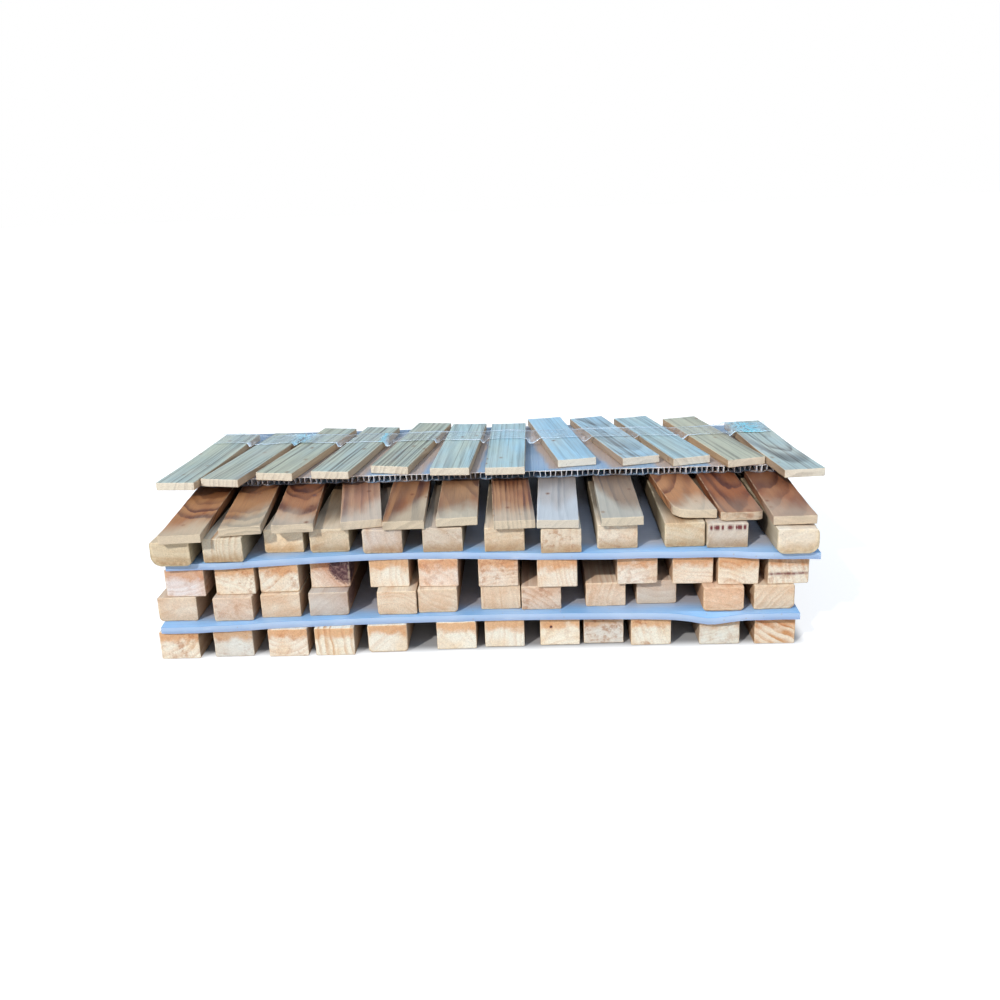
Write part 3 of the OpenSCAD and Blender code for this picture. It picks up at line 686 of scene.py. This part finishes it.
def corner_off(side, reach, back):
    """Rounds one front corner of a slat away: side -1 left, 1 right, reach across and back along."""

    def f(p):
        w = np.abs(p[:, 0]).max()
        a = np.clip((side * p[:, 0] - (w - reach)) / reach, 0, 1)
        cut = back * (1 - np.sqrt(np.clip(1 - a * a, 0, 1)))
        p[:, 1] = p[:, 1] + cut * np.clip(1 - p[:, 1] / (back * 2.2), 0, 1)
        return p

    return f


def chain(*fs):
    def f(p):
        for q in fs:
            p = q(p)
        return p

    return f


def row_of_bars(family, node_of, specs, body_of):
    count = 0
    for node, body in zip(node_of, body_of):
        for lo, hi in bars_in(node):
            s = specs[count]
            count += 1
            w, length, h = hi[0] - lo[0], hi[1] - lo[1], hi[2] - lo[2]
            origin = ((lo[0] + hi[0]) / 2 * MM, lo[1] * MM, lo[2] * MM)
            ob = stick(f"{family}_bar_{count:02d}_timber", w, h, length, origin, 0.0, 1000 + 37 * count + len(family), s["r"])
            dress(ob, s, family, count * 1.37 + len(family))
            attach(ob, body)
            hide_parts(node)
            yield ob


def loose_sticks(prefix, family, specs, turns, body_name, bends=None):
    for k in range(1, 13):
        node = f"{prefix}_{k:02d}"
        lo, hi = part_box(node)
        bx, by = (hi.x - lo.x) / MM, (hi.y - lo.y) / MM
        th = math.radians(turns[k - 1])
        c, s_ = math.cos(th), abs(math.sin(th))
        det = c * c - s_ * s_
        w, length = (bx * c - by * s_) / det, (by * c - bx * s_) / det
        h = (hi.z - lo.z) / MM
        mid = (lo + hi) / 2
        origin = (mid.x - math.sin(th) * length / 2 * MM, mid.y - c * length / 2 * MM, lo.z)
        s = specs[k - 1]
        thin = h < 10
        r4 = s["r"] if not thin or s["r"] != (0.9, 0.9, 0.9, 0.9) else (0.55, 0.5, 0.55, 0.5)
        bend = (bends or {}).get(k)
        ob = stick(f"{prefix}_{k:02d}_timber", w, h, length, origin, turns[k - 1], 5000 + 53 * k + len(prefix) * 7, r4,
                   re=0.3 if thin else 0.35, bend=bend, nz=3 if thin else 5)
        dress(ob, s, family, k * 1.71 + len(prefix) * 0.9)
        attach(ob, node)
        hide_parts(node)
        yield ob


STICKS = []
G3 = ["left", "middle", "right"]
STICKS += list(row_of_bars("base", [f"base_bars_{g}" for g in G3], BASE, ["base_row"] * 3))
STICKS += list(row_of_bars("lower", [f"lower_bars_{g}" for g in G3], LOWER, ["lower_tier"] * 3))
STICKS += list(loose_sticks("centre_bar", "centre", CENTRE, [0] * 12, None))
STICKS += list(loose_sticks("upper_bar", "upper", UPPER, [0] * 12, None))
MID_BENDS = {
    1: lifted(0.3), 2: lifted(0.5, 0.3), 3: lifted(0.4, -0.4), 4: lifted(0.2, 0.3), 5: lifted(0.3), 6: lifted(1.1, 0.6),
    7: lifted(0.2), 8: lifted(0.5, -0.3), 9: lifted(0.4, 0.4), 10: chain(corner_off(-1, 9.0, 12.0), lifted(1.6, -1.4)),
    11: chain(corner_off(-1, 5.0, 3.2), corner_off(1, 6.0, 4.0), lifted(0.5)), 12: lifted(0.9, 0.8),
}
STICKS += list(loose_sticks("mid_slat", "mid", MID, MID_TURN, None, MID_BENDS))
TOP_BENDS = {k: lifted(a, b, 60.0) for k, a, b in ((1, 0.2, 0.2), (2, 0.4, -0.2), (3, 0.1, 0.3), (4, 0.4, 0.2), (5, 0.2, -0.3), (6, 0.3, 0.1), (7, 0.5, 0.2), (8, 0.2, 0.2), (9, 0.4, -0.3), (10, 0.3, 0.2), (11, 0.1, 0.3), (12, 0.3, -0.2))}


def tail_up(amount, start=50.0):
    """The far end of a slat rides up."""

    def f(p):
        p[:, 2] += amount * smooth(start, 134.0, p[:, 1])
        return p

    return f


TOP_BENDS[12] = chain(TOP_BENDS[12], tail_up(2.4))
TOP_BENDS[1] = chain(TOP_BENDS[1], tail_up(1.4))
STICKS += list(loose_sticks("top_slat", "top", TOP, TOP_TURN, None, TOP_BENDS))
for ob in STICKS:
    fix_normals(ob)

# ---------------------------------------------------------------------------
# Twin-wall sheets
# ---------------------------------------------------------------------------


def twin_wall(name, node, across, pitch, skin, web, deform, stations):
    """The CAD sheet again, finely divided so that it can sag and buckle. across = 'x' if the webs are counted along x."""
    lo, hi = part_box(node)
    lo, hi = np.array(lo) / MM, np.array(hi) / MM
    a0, a1 = (lo[0], hi[0]) if across == "x" else (lo[1], hi[1])
    e0, e1 = (lo[1], hi[1]) if across == "x" else (lo[0], hi[0])
    width, high = a1 - a0, hi[2] - lo[2]
    cells = int((width - web) // pitch)
    run = (width - web) / cells
    sl = []
    for c in range(cells):
        sl += [c * run, c * run + web]
    sl += [width - web, width]
    sl = np.array(sl)
    # the two skins' outer and inner levels
    zl = np.array([0, skin, high - skin, high])
    et = np.array(stations(e1 - e0))
    nS, nZ, nE = len(sl), 4, len(et)
    s, z, e = np.meshgrid(sl, zl, et, indexing="ij")
    idx = np.arange(nS * nZ * nE).reshape(nS, nZ, nE)
    flat = np.stack([s.ravel(), z.ravel(), e.ravel()], 1)
    quads = []

    def strip(i0, j0, i1, j1):
        a, b = idx[i0, j0], idx[i1, j1]
        quads.append(np.stack([a[:-1], b[:-1], b[1:], a[1:]], 1))

    for i in range(nS - 1):
        strip(i, 0, i + 1, 0)
        strip(i, 3, i + 1, 3)
        if i % 2 == 1:
            strip(i, 1, i + 1, 1)
            strip(i, 2, i + 1, 2)
            strip(i, 1, i, 2)
            strip(i + 1, 1, i + 1, 2)
    for j in range(3):
        strip(0, j, 0, j + 1)
        strip(nS - 1, j, nS - 1, j + 1)
    for k in (0, nE - 1):
        for i in range(nS - 1):
            for j in range(3):
                if j != 1 or i % 2 == 0:
                    quads.append(np.array([[idx[i, j, k], idx[i + 1, j, k], idx[i + 1, j + 1, k], idx[i, j + 1, k]]]))
    quads = np.concatenate(quads)
    if across == "x":
        p = np.stack([a0 + flat[:, 0], e0 + flat[:, 2], lo[2] + flat[:, 1]], 1)
    else:
        p = np.stack([e0 + flat[:, 2], a0 + flat[:, 0], lo[2] + flat[:, 1]], 1)
    spos = np.stack([flat[:, 0], flat[:, 2], flat[:, 1]], 1)
    p = deform(p, flat, (lo, hi))
    used = np.unique(quads)
    remap = np.full(len(p), -1)
    remap[used] = np.arange(len(used))
    ob = new_mesh(name, p[used] * MM, remap[quads], {"spos": spos[used]}, smooth_shade=False)
    fix_normals(ob)
    return ob


def sheet_material(name, top_c, edge_c, deep_shade_c, pitch, high, along, near, far, slat_reflections=()):
    mat = bpy.data.materials.new(name)
    mat.use_nodes = True
    g = Graph(mat.node_tree)
    S_, E_, Z_ = g.sep(g.attr("spos"))
    nz = g.sep(g.n("ShaderNodeNewGeometry").outputs["Normal"])[2]
    P = g.comb(S_, E_, Z_)
    up = g.ss(0.5, 0.8, g.m("ABSOLUTE", nz))
    cloud = g.noise(g.vm("MULTIPLY", P, (0.02, 0.02, 0.02)), 1.0, 3.0)
    scuff = g.noise(g.vm("MULTIPLY", P, (0.9, 0.05, 0.3)), 1.0, 4.0, 0.6)
    fine = g.noise(g.vm("MULTIPLY", P, (2.5, 2.5, 2.5)), 1.0, 3.0)
    phase = g.m("FRACT", g.m("DIVIDE", S_, pitch))
    line = g.m("SUBTRACT", g.ss(0.0, 0.08, phase), g.ss(0.10, 0.22, phase))
    # the top painted a duller colour further back from the front edge: painted shade, as falls between and under the
    # pieces above
    back = g.m("ADD", E_ if along == "e" else S_, g.m("MULTIPLY", g.m("SUBTRACT", cloud, 0.5), 14.0))
    topc = g.mix(g.ss(near, far, back), lin(top_c), lin(deep_shade_c))
    # the lower part of each edge painted a darker blue: painted shade
    low_edge_shade = g.ss(high * 0.75, high * 0.1, Z_)
    edgec = g.mix(g.m("MULTIPLY", low_edge_shade, 0.8), lin(edge_c), g.mix(0.5, lin(edge_c), lin((104, 124, 172))))
    # on the fluted sheet the bottom skin's edge is painted dark grey: painted shade under the sheet
    if along == "e":
        edgec = g.mix(g.ss(high * 0.22, high * 0.10, Z_), edgec, lin((92, 92, 98)))
    col = g.mix(up, edgec, topc)
    col = g.mix(g.ss(0.35, 0.75, cloud, 0.0, 0.35), col, g.mix(0.5, col, lin((236, 240, 250))))
    col = g.mix(g.m("MULTIPLY", line, g.m("MULTIPLY", up, 0.35)), col, g.mix(1.0, col, lin((196, 208, 236)), "MULTIPLY"))
    col = g.mix(g.ss(0.60, 0.80, scuff, 0.0, 0.25), col, lin((232, 238, 248)))
    dust = g.m("SUBTRACT", 1.0, g.ss(0.05, 0.13, g.voro(g.vm("MULTIPLY", P, (0.16, 0.16, 0.16)))))
    col = g.mix(g.m("MULTIPLY", dust, 0.35), col, lin((168, 142, 112)))
    # a brown band on the sheet's top along one side of each slat: painted reflection of the slat's brown side
    if slat_reflections:
        ox, oy, _z = g.sep(g.vm("MULTIPLY", g.n("ShaderNodeTexCoord").outputs["Object"], (1000.0, 1000.0, 1000.0)))
        ragged = g.m("MULTIPLY", g.m("SUBTRACT", g.noise(g.vm("MULTIPLY", P, (0.12, 0.05, 0.1)), 1.0, 3.0), 0.5), 7.0)
        slat_reflection = None
        for cx, cy, th, half_w, half_l, hand, reach in slat_reflections:
            dx, dy = g.m("SUBTRACT", ox, cx), g.m("SUBTRACT", oy, cy)
            u = g.m("MULTIPLY", g.m("SUBTRACT", g.m("MULTIPLY", dx, math.cos(th)), g.m("MULTIPLY", dy, math.sin(th))), float(hand))
            v = g.m("ADD", g.m("MULTIPLY", dx, math.sin(th)), g.m("MULTIPLY", dy, math.cos(th)))
            one = g.m("MULTIPLY", g.ss(half_w + reach, half_w + reach * 0.45, g.m("ADD", u, ragged)), g.ss(half_w - 16.0, half_w - 2.0, u))
            one = g.m("MULTIPLY", one, g.m("MULTIPLY", g.ss(half_l + 6.0, half_l - 34.0, v), g.ss(-half_l - 4.0, -half_l + 3.0, v)))
            slat_reflection = one if slat_reflection is None else g.m("MAXIMUM", slat_reflection, one)
        col = g.mix(g.m("MULTIPLY", g.m("MULTIPLY", slat_reflection, up), 0.8), col, g.mix(1.0, lin((176, 148, 124)), g.grey(g.m("ADD", 0.75, g.m("MULTIPLY", scuff, 0.5))), "MULTIPLY"))
    h = g.m("ADD", g.m("MULTIPLY", line, 0.9), g.m("ADD", g.m("MULTIPLY", scuff, 0.6), g.m("MULTIPLY", fine, 0.25)))
    b = g.n("ShaderNodeBsdfPrincipled")
    g.put(b.inputs["Base Color"], col)
    g.put(b.inputs["Roughness"], g.m("ADD", 0.30, g.m("MULTIPLY", scuff, 0.28)))
    g.put(b.inputs["Normal"], g.bump(h, 0.00012, 0.7))
    b.inputs["Specular IOR Level"].default_value = 0.45
    b.inputs["Subsurface Weight"].default_value = 0.25
    b.inputs["Subsurface Radius"].default_value = (0.5, 0.7, 1.0)
    b.inputs["Subsurface Scale"].default_value = 0.003
    g.out(b.outputs[0])
    return mat


def even(step):
    def f(total):
        n = max(2, int(round(total / step)))
        return np.linspace(0, total, n + 1)

    return f


def front_dense(total):
    near = [0, 0.6, 1.4, 2.6, 4.2, 6.4, 9.2, 13, 18, 25]
    return np.concatenate([near, np.linspace(34, total, 14)])


def sag_lower(p, flat, box):
    lo, hi = box
    rng = np.random.default_rng(11)
    f = wave(rng, (120, 47, 21), (0.35, 0.22, 0.08))
    # the front edge is cut a little hollow: it draws back in the middle of the row
    p[:, 1] += smooth(lo[1] + 80.0, lo[1], p[:, 1]) * 8.0 * np.clip(1 - ((p[:, 0] + 8.0) / 185.0) ** 2, 0, 1)
    lip = smooth(lo[1] + 8.0, lo[1], p[:, 1])
    p[:, 2] += lip * (f(p[:, 0]) - 0.55)
    # the front edge hangs down between two base bars towards the right
    d = np.exp(-(((p[:, 0] - 150.0) / 15.0) ** 2))
    p[:, 2] -= d * smooth(lo[1] + 9.0, lo[1] + 1.0, p[:, 1]) * 3.6
    p[:, 1] += lip * (0.5 + 0.4 * np.sin(p[:, 0] / 19.0) + 0.15 * np.sin(p[:, 0] / 7.3 + 1.0))
    return p


def sag_middle(p, flat, box):
    lo, hi = box
    rng = np.random.default_rng(12)
    f = wave(rng, (140, 55, 24), (0.30, 0.20, 0.08))
    xx = p[:, 0]
    hollow = 11.5 * np.exp(-(((xx + 55.0) / 95.0) ** 2)) + 2.5 * np.exp(-(((xx - 110.0) / 50.0) ** 2)) - 5.0 * smooth(140.0, 214.0, xx)
    p[:, 1] += smooth(lo[1] + 80.0, lo[1], p[:, 1]) * hollow
    lip = smooth(lo[1] + 8.0, lo[1], p[:, 1])
    p[:, 2] += lip * (f(p[:, 0]) - 0.5)
    p[:, 1] += lip * (0.5 + 0.35 * np.sin(p[:, 0] / 23.0 + 2.0) + 0.12 * np.sin(p[:, 0] / 8.1))
    return p


def crush_upper(p, flat, box):
    lo, hi = box
    rng = np.random.default_rng(13)
    n = int(round(flat[:, 0].max())) + 2
    lean, tear, drop = rng.uniform(-0.9, 0.9, n), rng.uniform(0.4, 4.6, n), rng.uniform(-0.5, 0.3, n)
    cell = np.clip(np.round(flat[:, 0] / 4.0).astype(int), 0, n - 1)
    near = smooth(16.0, 0.0, flat[:, 2])
    upz = (flat[:, 1] - flat[:, 1].min()) / (flat[:, 1].max() - flat[:, 1].min())
    p[:, 0] += near * lean[cell] * (1 - upz) * np.where(np.abs(p[:, 0] - lo[0]) < 3, 0, 1) * np.where(np.abs(p[:, 0] - hi[0]) < 3, 0, 1)
    p[:, 1] += near * tear[cell] * (0.15 + 0.85 * (1 - upz))
    # the far corner on the right is cut away
    p[:, 1] -= smooth(hi[1] - 60.0, hi[1], p[:, 1]) * 17.0 * smooth(70.0, 190.0, p[:, 0])
    p[:, 2] += near * drop[cell] * (1 - upz) + near * 0.0
    return p


BLUE_TOP, BLUE_EDGE = (136, 180, 226), (162, 188, 222)
lower = twin_wall("lower_sheet_twinwall", "lower_sheet", "y", 4.0, 0.6, 0.5, sag_lower, even(5.0))
middle = twin_wall("middle_sheet_twinwall", "middle_sheet", "y", 4.0, 0.6, 0.5, sag_middle, even(5.0))
upper = twin_wall("upper_sheet_twinwall", "upper_sheet", "x", 4.0, 0.6, 0.5, crush_upper, front_dense)
m_div = sheet_material("divider_sheet", BLUE_TOP, BLUE_EDGE, (158, 158, 166), 4.0, 4.5, "s", 4.0, 22.0)
SLAT_REFLECTIONS = []
for k, hand in ((1, 1), (2, 1), (3, 1), (4, 1), (5, 1), (6, 1), (8, -1), (9, -1), (10, -1), (11, -1), (12, -1)):
    lo_, hi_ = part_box(f"top_slat_{k:02d}")
    SLAT_REFLECTIONS.append(((lo_.x + hi_.x) / 2 / MM, (lo_.y + hi_.y) / 2 / MM, math.radians(TOP_TURN[k - 1]), 14.75, 67.0, hand, {6: 7.0, 8: 9.0}.get(k, 13.0)))
m_flu = sheet_material("fluted_sheet", (132, 158, 182), (250, 251, 252), (104, 126, 146), 4.0, 6.0, "e", 6.0, 60.0, SLAT_REFLECTIONS)
for ob, node, body, mat, sl in ((lower, "lower_sheet", "lower_tier", m_div, "divider_sheet"), (middle, "middle_sheet", "middle_tier", m_div, "divider_sheet"), (upper, "upper_sheet", "top_tier", m_flu, "fluted_sheet")):
    ob.data.materials.append(mat)
    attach(ob, body)
    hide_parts(node)

# ---------------------------------------------------------------------------
# Clear strip over the far part of the top slats
# ---------------------------------------------------------------------------


def film_strip():
    lo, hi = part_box("clear_strip")
    th = math.radians(1.5)
    c, s_ = math.cos(th), math.sin(th)
    bx, by = (hi.x - lo.x) / MM, (hi.y - lo.y) / MM
    det = c * c - s_ * s_
    length, width = (bx * c - by * s_) / det, (by * c - bx * s_) / det
    mid = (lo + hi) / 2 / MM
    nx, ny = 460, 18
    u = np.linspace(-length / 2, length / 2, nx + 1)
    v = np.linspace(-width / 2, width / 2, ny + 1)
    U, V = np.meshgrid(u, v, indexing="ij")
    rng = np.random.default_rng(77)
    z = np.zeros_like(U)
    for wl, amp in ((40, 0.30), (17, 0.26), (8, 0.20), (4.3, 0.12)):
        a, b = rng.uniform(0, 2 * math.pi, 2)
        k = 2 * math.pi / wl
        ang = rng.uniform(-0.6, 0.6)
        w = np.sin(k * (U * math.cos(ang) + V * math.sin(ang)) + a + 0.9 * np.sin(k * 0.37 * V + b))
        z += amp * (1 - np.abs(w)) ** 1.5
    curl = smooth(0.72, 1.0, np.abs(V) / (width / 2)) * (0.5 + 0.5 * np.sin(U / 13.0 + 1.3 * np.sin(U / 31.0)))
    z = 0.02 + 0.85 * z + 1.1 * curl
    V2 = V + 0.8 * np.sin(U / 9.0) * smooth(0.8, 1.0, np.abs(V) / (width / 2)) * 0.6
    base = lo.z / MM
    x = mid.x + U * c + V2 * s_
    y = mid.y - U * s_ + V2 * c
    # across and along each slat, so that the film rides over raised tails and drops into the gaps
    local = []
    for k in range(1, 13):
        a_, b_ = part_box(f"top_slat_{k:02d}")
        tk = math.radians(TOP_TURN[k - 1])
        dx, dy = x - (a_.x + b_.x) / 2 / MM, y - (a_.y + b_.y) / 2 / MM
        local.append((dx * math.cos(tk) - dy * math.sin(tk), dx * math.sin(tk) + dy * math.cos(tk) + 67.0))
    for k, amount in ((0, 1.4), (11, 2.4)):
        across, along = local[k]
        z += (amount * smooth(50.0, 134.0, along) + 0.15) * smooth(24.0, 16.0, np.abs(across))
    # white marks where the film bends down into each gap, just past a slat's side, near the front rim: painted
    # highlight
    fold_glint = np.zeros_like(U)
    rim_w = 0.12 + 0.88 * smooth(-4.0, -13.5, V)
    for k in range(11):
        p, q = local[k][0] - 14.9, -14.9 - local[k + 1][0]
        inside = (p > 0) & (q > 0)
        t = np.where(inside, p / np.maximum(p + q, 0.1), 0.0)
        deep = np.minimum(4.2, 0.42 * np.maximum(p + q, 0.0))
        z -= np.where(inside, deep * smooth(0.0, 0.24, t) * smooth(1.0, 0.34, t), 0.0) * rim_w
        fold_glint = np.maximum(fold_glint, np.where(inside, smooth(0.34, 0.16, t), 0.0) * smooth(-7.0, -12.0, V) * (0.35 + 0.65 * (np.sin(k * 2.3 + 0.4) > -0.2)))
    pts = []
    for dz in (0.0, 0.12):
        pts.append(np.stack([x, y, base + z + dz], -1).reshape(-1, 3))
    n = (nx + 1) * (ny + 1)
    idx = np.arange(n).reshape(nx + 1, ny + 1)
    a, b_, c_, d_ = idx[:-1, :-1], idx[1:, :-1], idx[1:, 1:], idx[:-1, 1:]
    q = np.stack([a, b_, c_, d_], -1).reshape(-1, 4)
    quads = [q + n, q[:, ::-1]]
    for line, flip in ((idx[:, 0], False), (idx[:, -1], True), (idx[0, :], True), (idx[-1, :], False)):
        e = np.stack([line[:-1], line[1:], line[1:] + n, line[:-1] + n], 1)
        quads.append(e[:, ::-1] if flip else e)
    spos = np.stack([U.ravel(), V.ravel(), fold_glint.ravel()], 1)
    ob = new_mesh("clear_strip_film", np.concatenate(pts) * MM, np.concatenate(quads), {"spos": np.concatenate([spos, spos])})
    fix_normals(ob)
    mat = bpy.data.materials.new("clear_film")
    mat.use_nodes = True
    g = Graph(mat.node_tree)
    P = g.attr("spos")
    Uu, Vv, fold_glint_amt = g.sep(P)
    cr = g.noise(g.comb(g.m("MULTIPLY", Uu, 0.35), g.m("MULTIPLY", Vv, 0.18), 0.0), 1.0, 4.0, 0.6, 0.6)
    b = g.n("ShaderNodeBsdfPrincipled")
    g.put(b.inputs["Roughness"], g.m("ADD", 0.06, g.m("MULTIPLY", cr, 0.12)))
    rim = g.ss(0.84, 0.97, g.m("DIVIDE", g.m("ABSOLUTE", Vv), 13.5))
    front_rim = g.ss(-11.2, -12.8, Vv)

    def glint(at, wide, much):
        d = g.m("DIVIDE", g.m("SUBTRACT", Uu, at), wide)
        return g.m("MULTIPLY", g.m("POWER", 2.718, g.m("MULTIPLY", g.m("MULTIPLY", d, d), -1.0)), much)

    shine = g.m("ADD", g.m("ADD", glint(211.0, 12.0, 1.0), glint(-156.0, 10.0, 0.6)), g.m("ADD", glint(-87.0, 3.0, 0.8), glint(57.0, 8.0, 0.25)))
    shine = g.m("MULTIPLY", shine, g.ss(0.34, 0.54, cr), clamp=True)
    g.put(b.inputs["Base Color"], g.mix(shine, g.mix(g.ss(0.4, 0.7, cr), lin((214, 232, 246)), lin((244, 250, 255))), lin((132, 226, 242))))
    # the side rims and the front rim are painted more opaque: painted highlight of the film's edges
    alpha = g.m("ADD", g.m("ADD", g.m("MULTIPLY", rim, 0.35), g.m("MULTIPLY", front_rim, 0.35)), g.ss(0.45, 0.85, cr, 0.05, 0.26))
    # the fold marks raise the alpha: painted highlight of the film's folds
    alpha = g.m("ADD", alpha, g.m("MULTIPLY", fold_glint_amt, 0.75))
    g.put(b.inputs["Alpha"], g.m("ADD", alpha, g.m("MULTIPLY", shine, 0.72), clamp=True))
    g.put(b.inputs["Normal"], g.bump(cr, 0.0006, 0.6))
    b.inputs["Specular IOR Level"].default_value = 0.9
    b.inputs["Coat Weight"].default_value = 0.6
    b.inputs["Coat Roughness"].default_value = 0.05
    g.out(b.outputs[0])
    ob.data.materials.append(mat)
    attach(ob, "strip")
    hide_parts("clear_strip")
    return ob


film_strip()

# ---------------------------------------------------------------------------
# Floor, light and camera
# ---------------------------------------------------------------------------

bpy.ops.mesh.primitive_plane_add(size=14.0, location=(0, 2.0, -0.0005))
floor = bpy.context.object
floor.name = "studio_floor"
fm = bpy.data.materials.new("studio_floor")
fm.use_nodes = True
g = Graph(fm.node_tree)
b = g.n("ShaderNodeBsdfPrincipled")
seen = g.n("ShaderNodeLightPath").outputs["Is Camera Ray"]
g.put(b.inputs["Base Color"], g.mix(seen, (0.50, 0.49, 0.47, 1.0), (0.34, 0.34, 0.34, 1.0)))
b.inputs["Roughness"].default_value = 0.9
b.inputs["Specular IOR Level"].default_value = 0.1
b.inputs["Emission Color"].default_value = (1, 1, 1, 1)
fx, fy, fz = g.sep(g.n("ShaderNodeNewGeometry").outputs["Position"])
half_x, lo_y, hi_y = 0.218, CAD_LO[1] + 0.002, CAD_HI[1] - 0.028
under = g.m("MULTIPLY", g.ss(half_x, half_x - 0.012, g.m("ABSOLUTE", fx)), g.m("MULTIPLY", g.ss(lo_y, lo_y + 0.014, fy), g.ss(hi_y, hi_y - 0.014, fy)))
g.put(b.inputs["Emission Strength"], g.m("MULTIPLY", g.m("MULTIPLY", seen, 0.80), g.m("SUBTRACT", 1.0, under)))
g.out(b.outputs[0])
floor.data.materials.append(fm)

world = bpy.data.worlds.new("studio")
bpy.context.scene.world = world
world.use_nodes = True
g = Graph(world.node_tree)
lp = g.n("ShaderNodeLightPath")
tc = g.n("ShaderNodeTexCoord")
dz = g.sep(tc.outputs["Generated"])[2]
sky = g.mix(g.ss(0.0, 0.75, dz), (0.34, 0.37, 0.42, 1.0), (0.66, 0.86, 1.12, 1.0))
bg1 = g.n("ShaderNodeBackground")
g.put(bg1.inputs["Color"], sky)
bg1.inputs["Strength"].default_value = 0.85
bg2 = g.n("ShaderNodeBackground")
g.put(bg2.inputs["Color"], (1, 1, 1, 1))
bg2.inputs["Strength"].default_value = 1.0
ms = g.n("ShaderNodeMixShader")
g.put(ms.inputs[0], lp.outputs["Is Camera Ray"])
world.node_tree.links.new(bg1.outputs[0], ms.inputs[1])
world.node_tree.links.new(bg2.outputs[0], ms.inputs[2])
o = g.n("ShaderNodeOutputWorld")
world.node_tree.links.new(ms.outputs[0], o.inputs["Surface"])

sun = bpy.data.lights.new("key", "SUN")
sun.energy = 2.75
sun.angle = math.radians(3.0)
sun.color = (1.0, 0.965, 0.92)
so = bpy.data.objects.new("key", sun)
bpy.context.scene.collection.objects.link(so)
az, el = math.radians(-36), math.radians(38)
toward = Vector((math.sin(az) * math.cos(el), -math.cos(az) * math.cos(el), math.sin(el)))
so.rotation_mode = "QUATERNION"
so.rotation_quaternion = toward.to_track_quat("Z", "Y")

fill = bpy.data.lights.new("fill", "SUN")
fill.energy = 0.55
fill.angle = math.radians(30.0)
fill.color = (1.0, 0.87, 0.75)
fo = bpy.data.objects.new("fill", fill)
bpy.context.scene.collection.objects.link(fo)
fo.rotation_mode = "QUATERNION"
fo.rotation_quaternion = Vector((0.10, -0.95, 0.28)).to_track_quat("Z", "Y")

cam = bpy.data.cameras.new("camera")
co = bpy.data.objects.new("camera", cam)
bpy.context.scene.collection.objects.link(co)
bpy.context.scene.camera = co
PITCH, YAW, ROLL = math.radians(16.20), math.radians(-1.88), math.radians(2.14)
# the camera was placed from the front of upper bar 12 and the middle of centre bar 5
Y_MID = -6.0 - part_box("upper_bar_12")[0].y / MM
X_MID = -64.25 - (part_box("centre_bar_05")[0].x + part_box("centre_bar_05")[1].x) / 2 / MM
fwd = Vector((math.sin(YAW) * math.cos(PITCH), math.cos(YAW) * math.cos(PITCH), -math.sin(PITCH)))
right = fwd.cross(Vector((0, 0, 1))).normalized()
upv = right.cross(fwd)
r2 = right * math.cos(ROLL) - upv * math.sin(ROLL)
u2 = right * math.sin(ROLL) + upv * math.cos(ROLL)
m = Matrix((
    (r2.x, u2.x, -fwd.x, (33.6 - X_MID) * MM),
    (r2.y, u2.y, -fwd.y, (-593.5 - Y_MID) * MM),
    (r2.z, u2.z, -fwd.z, 306.0 * MM),
    (0, 0, 0, 1),
))
co.matrix_world = m
cam.sensor_width = 36.0
cam.lens = 36.0 * 970.0 / 1000.0
cam.shift_y = -0.04
cam.clip_start, cam.clip_end = 0.01, 60.0

bpy.context.scene.view_settings.view_transform = "Standard"
bpy.context.scene.view_settings.look = "None"
bpy.context.scene.view_settings.exposure = 0.0
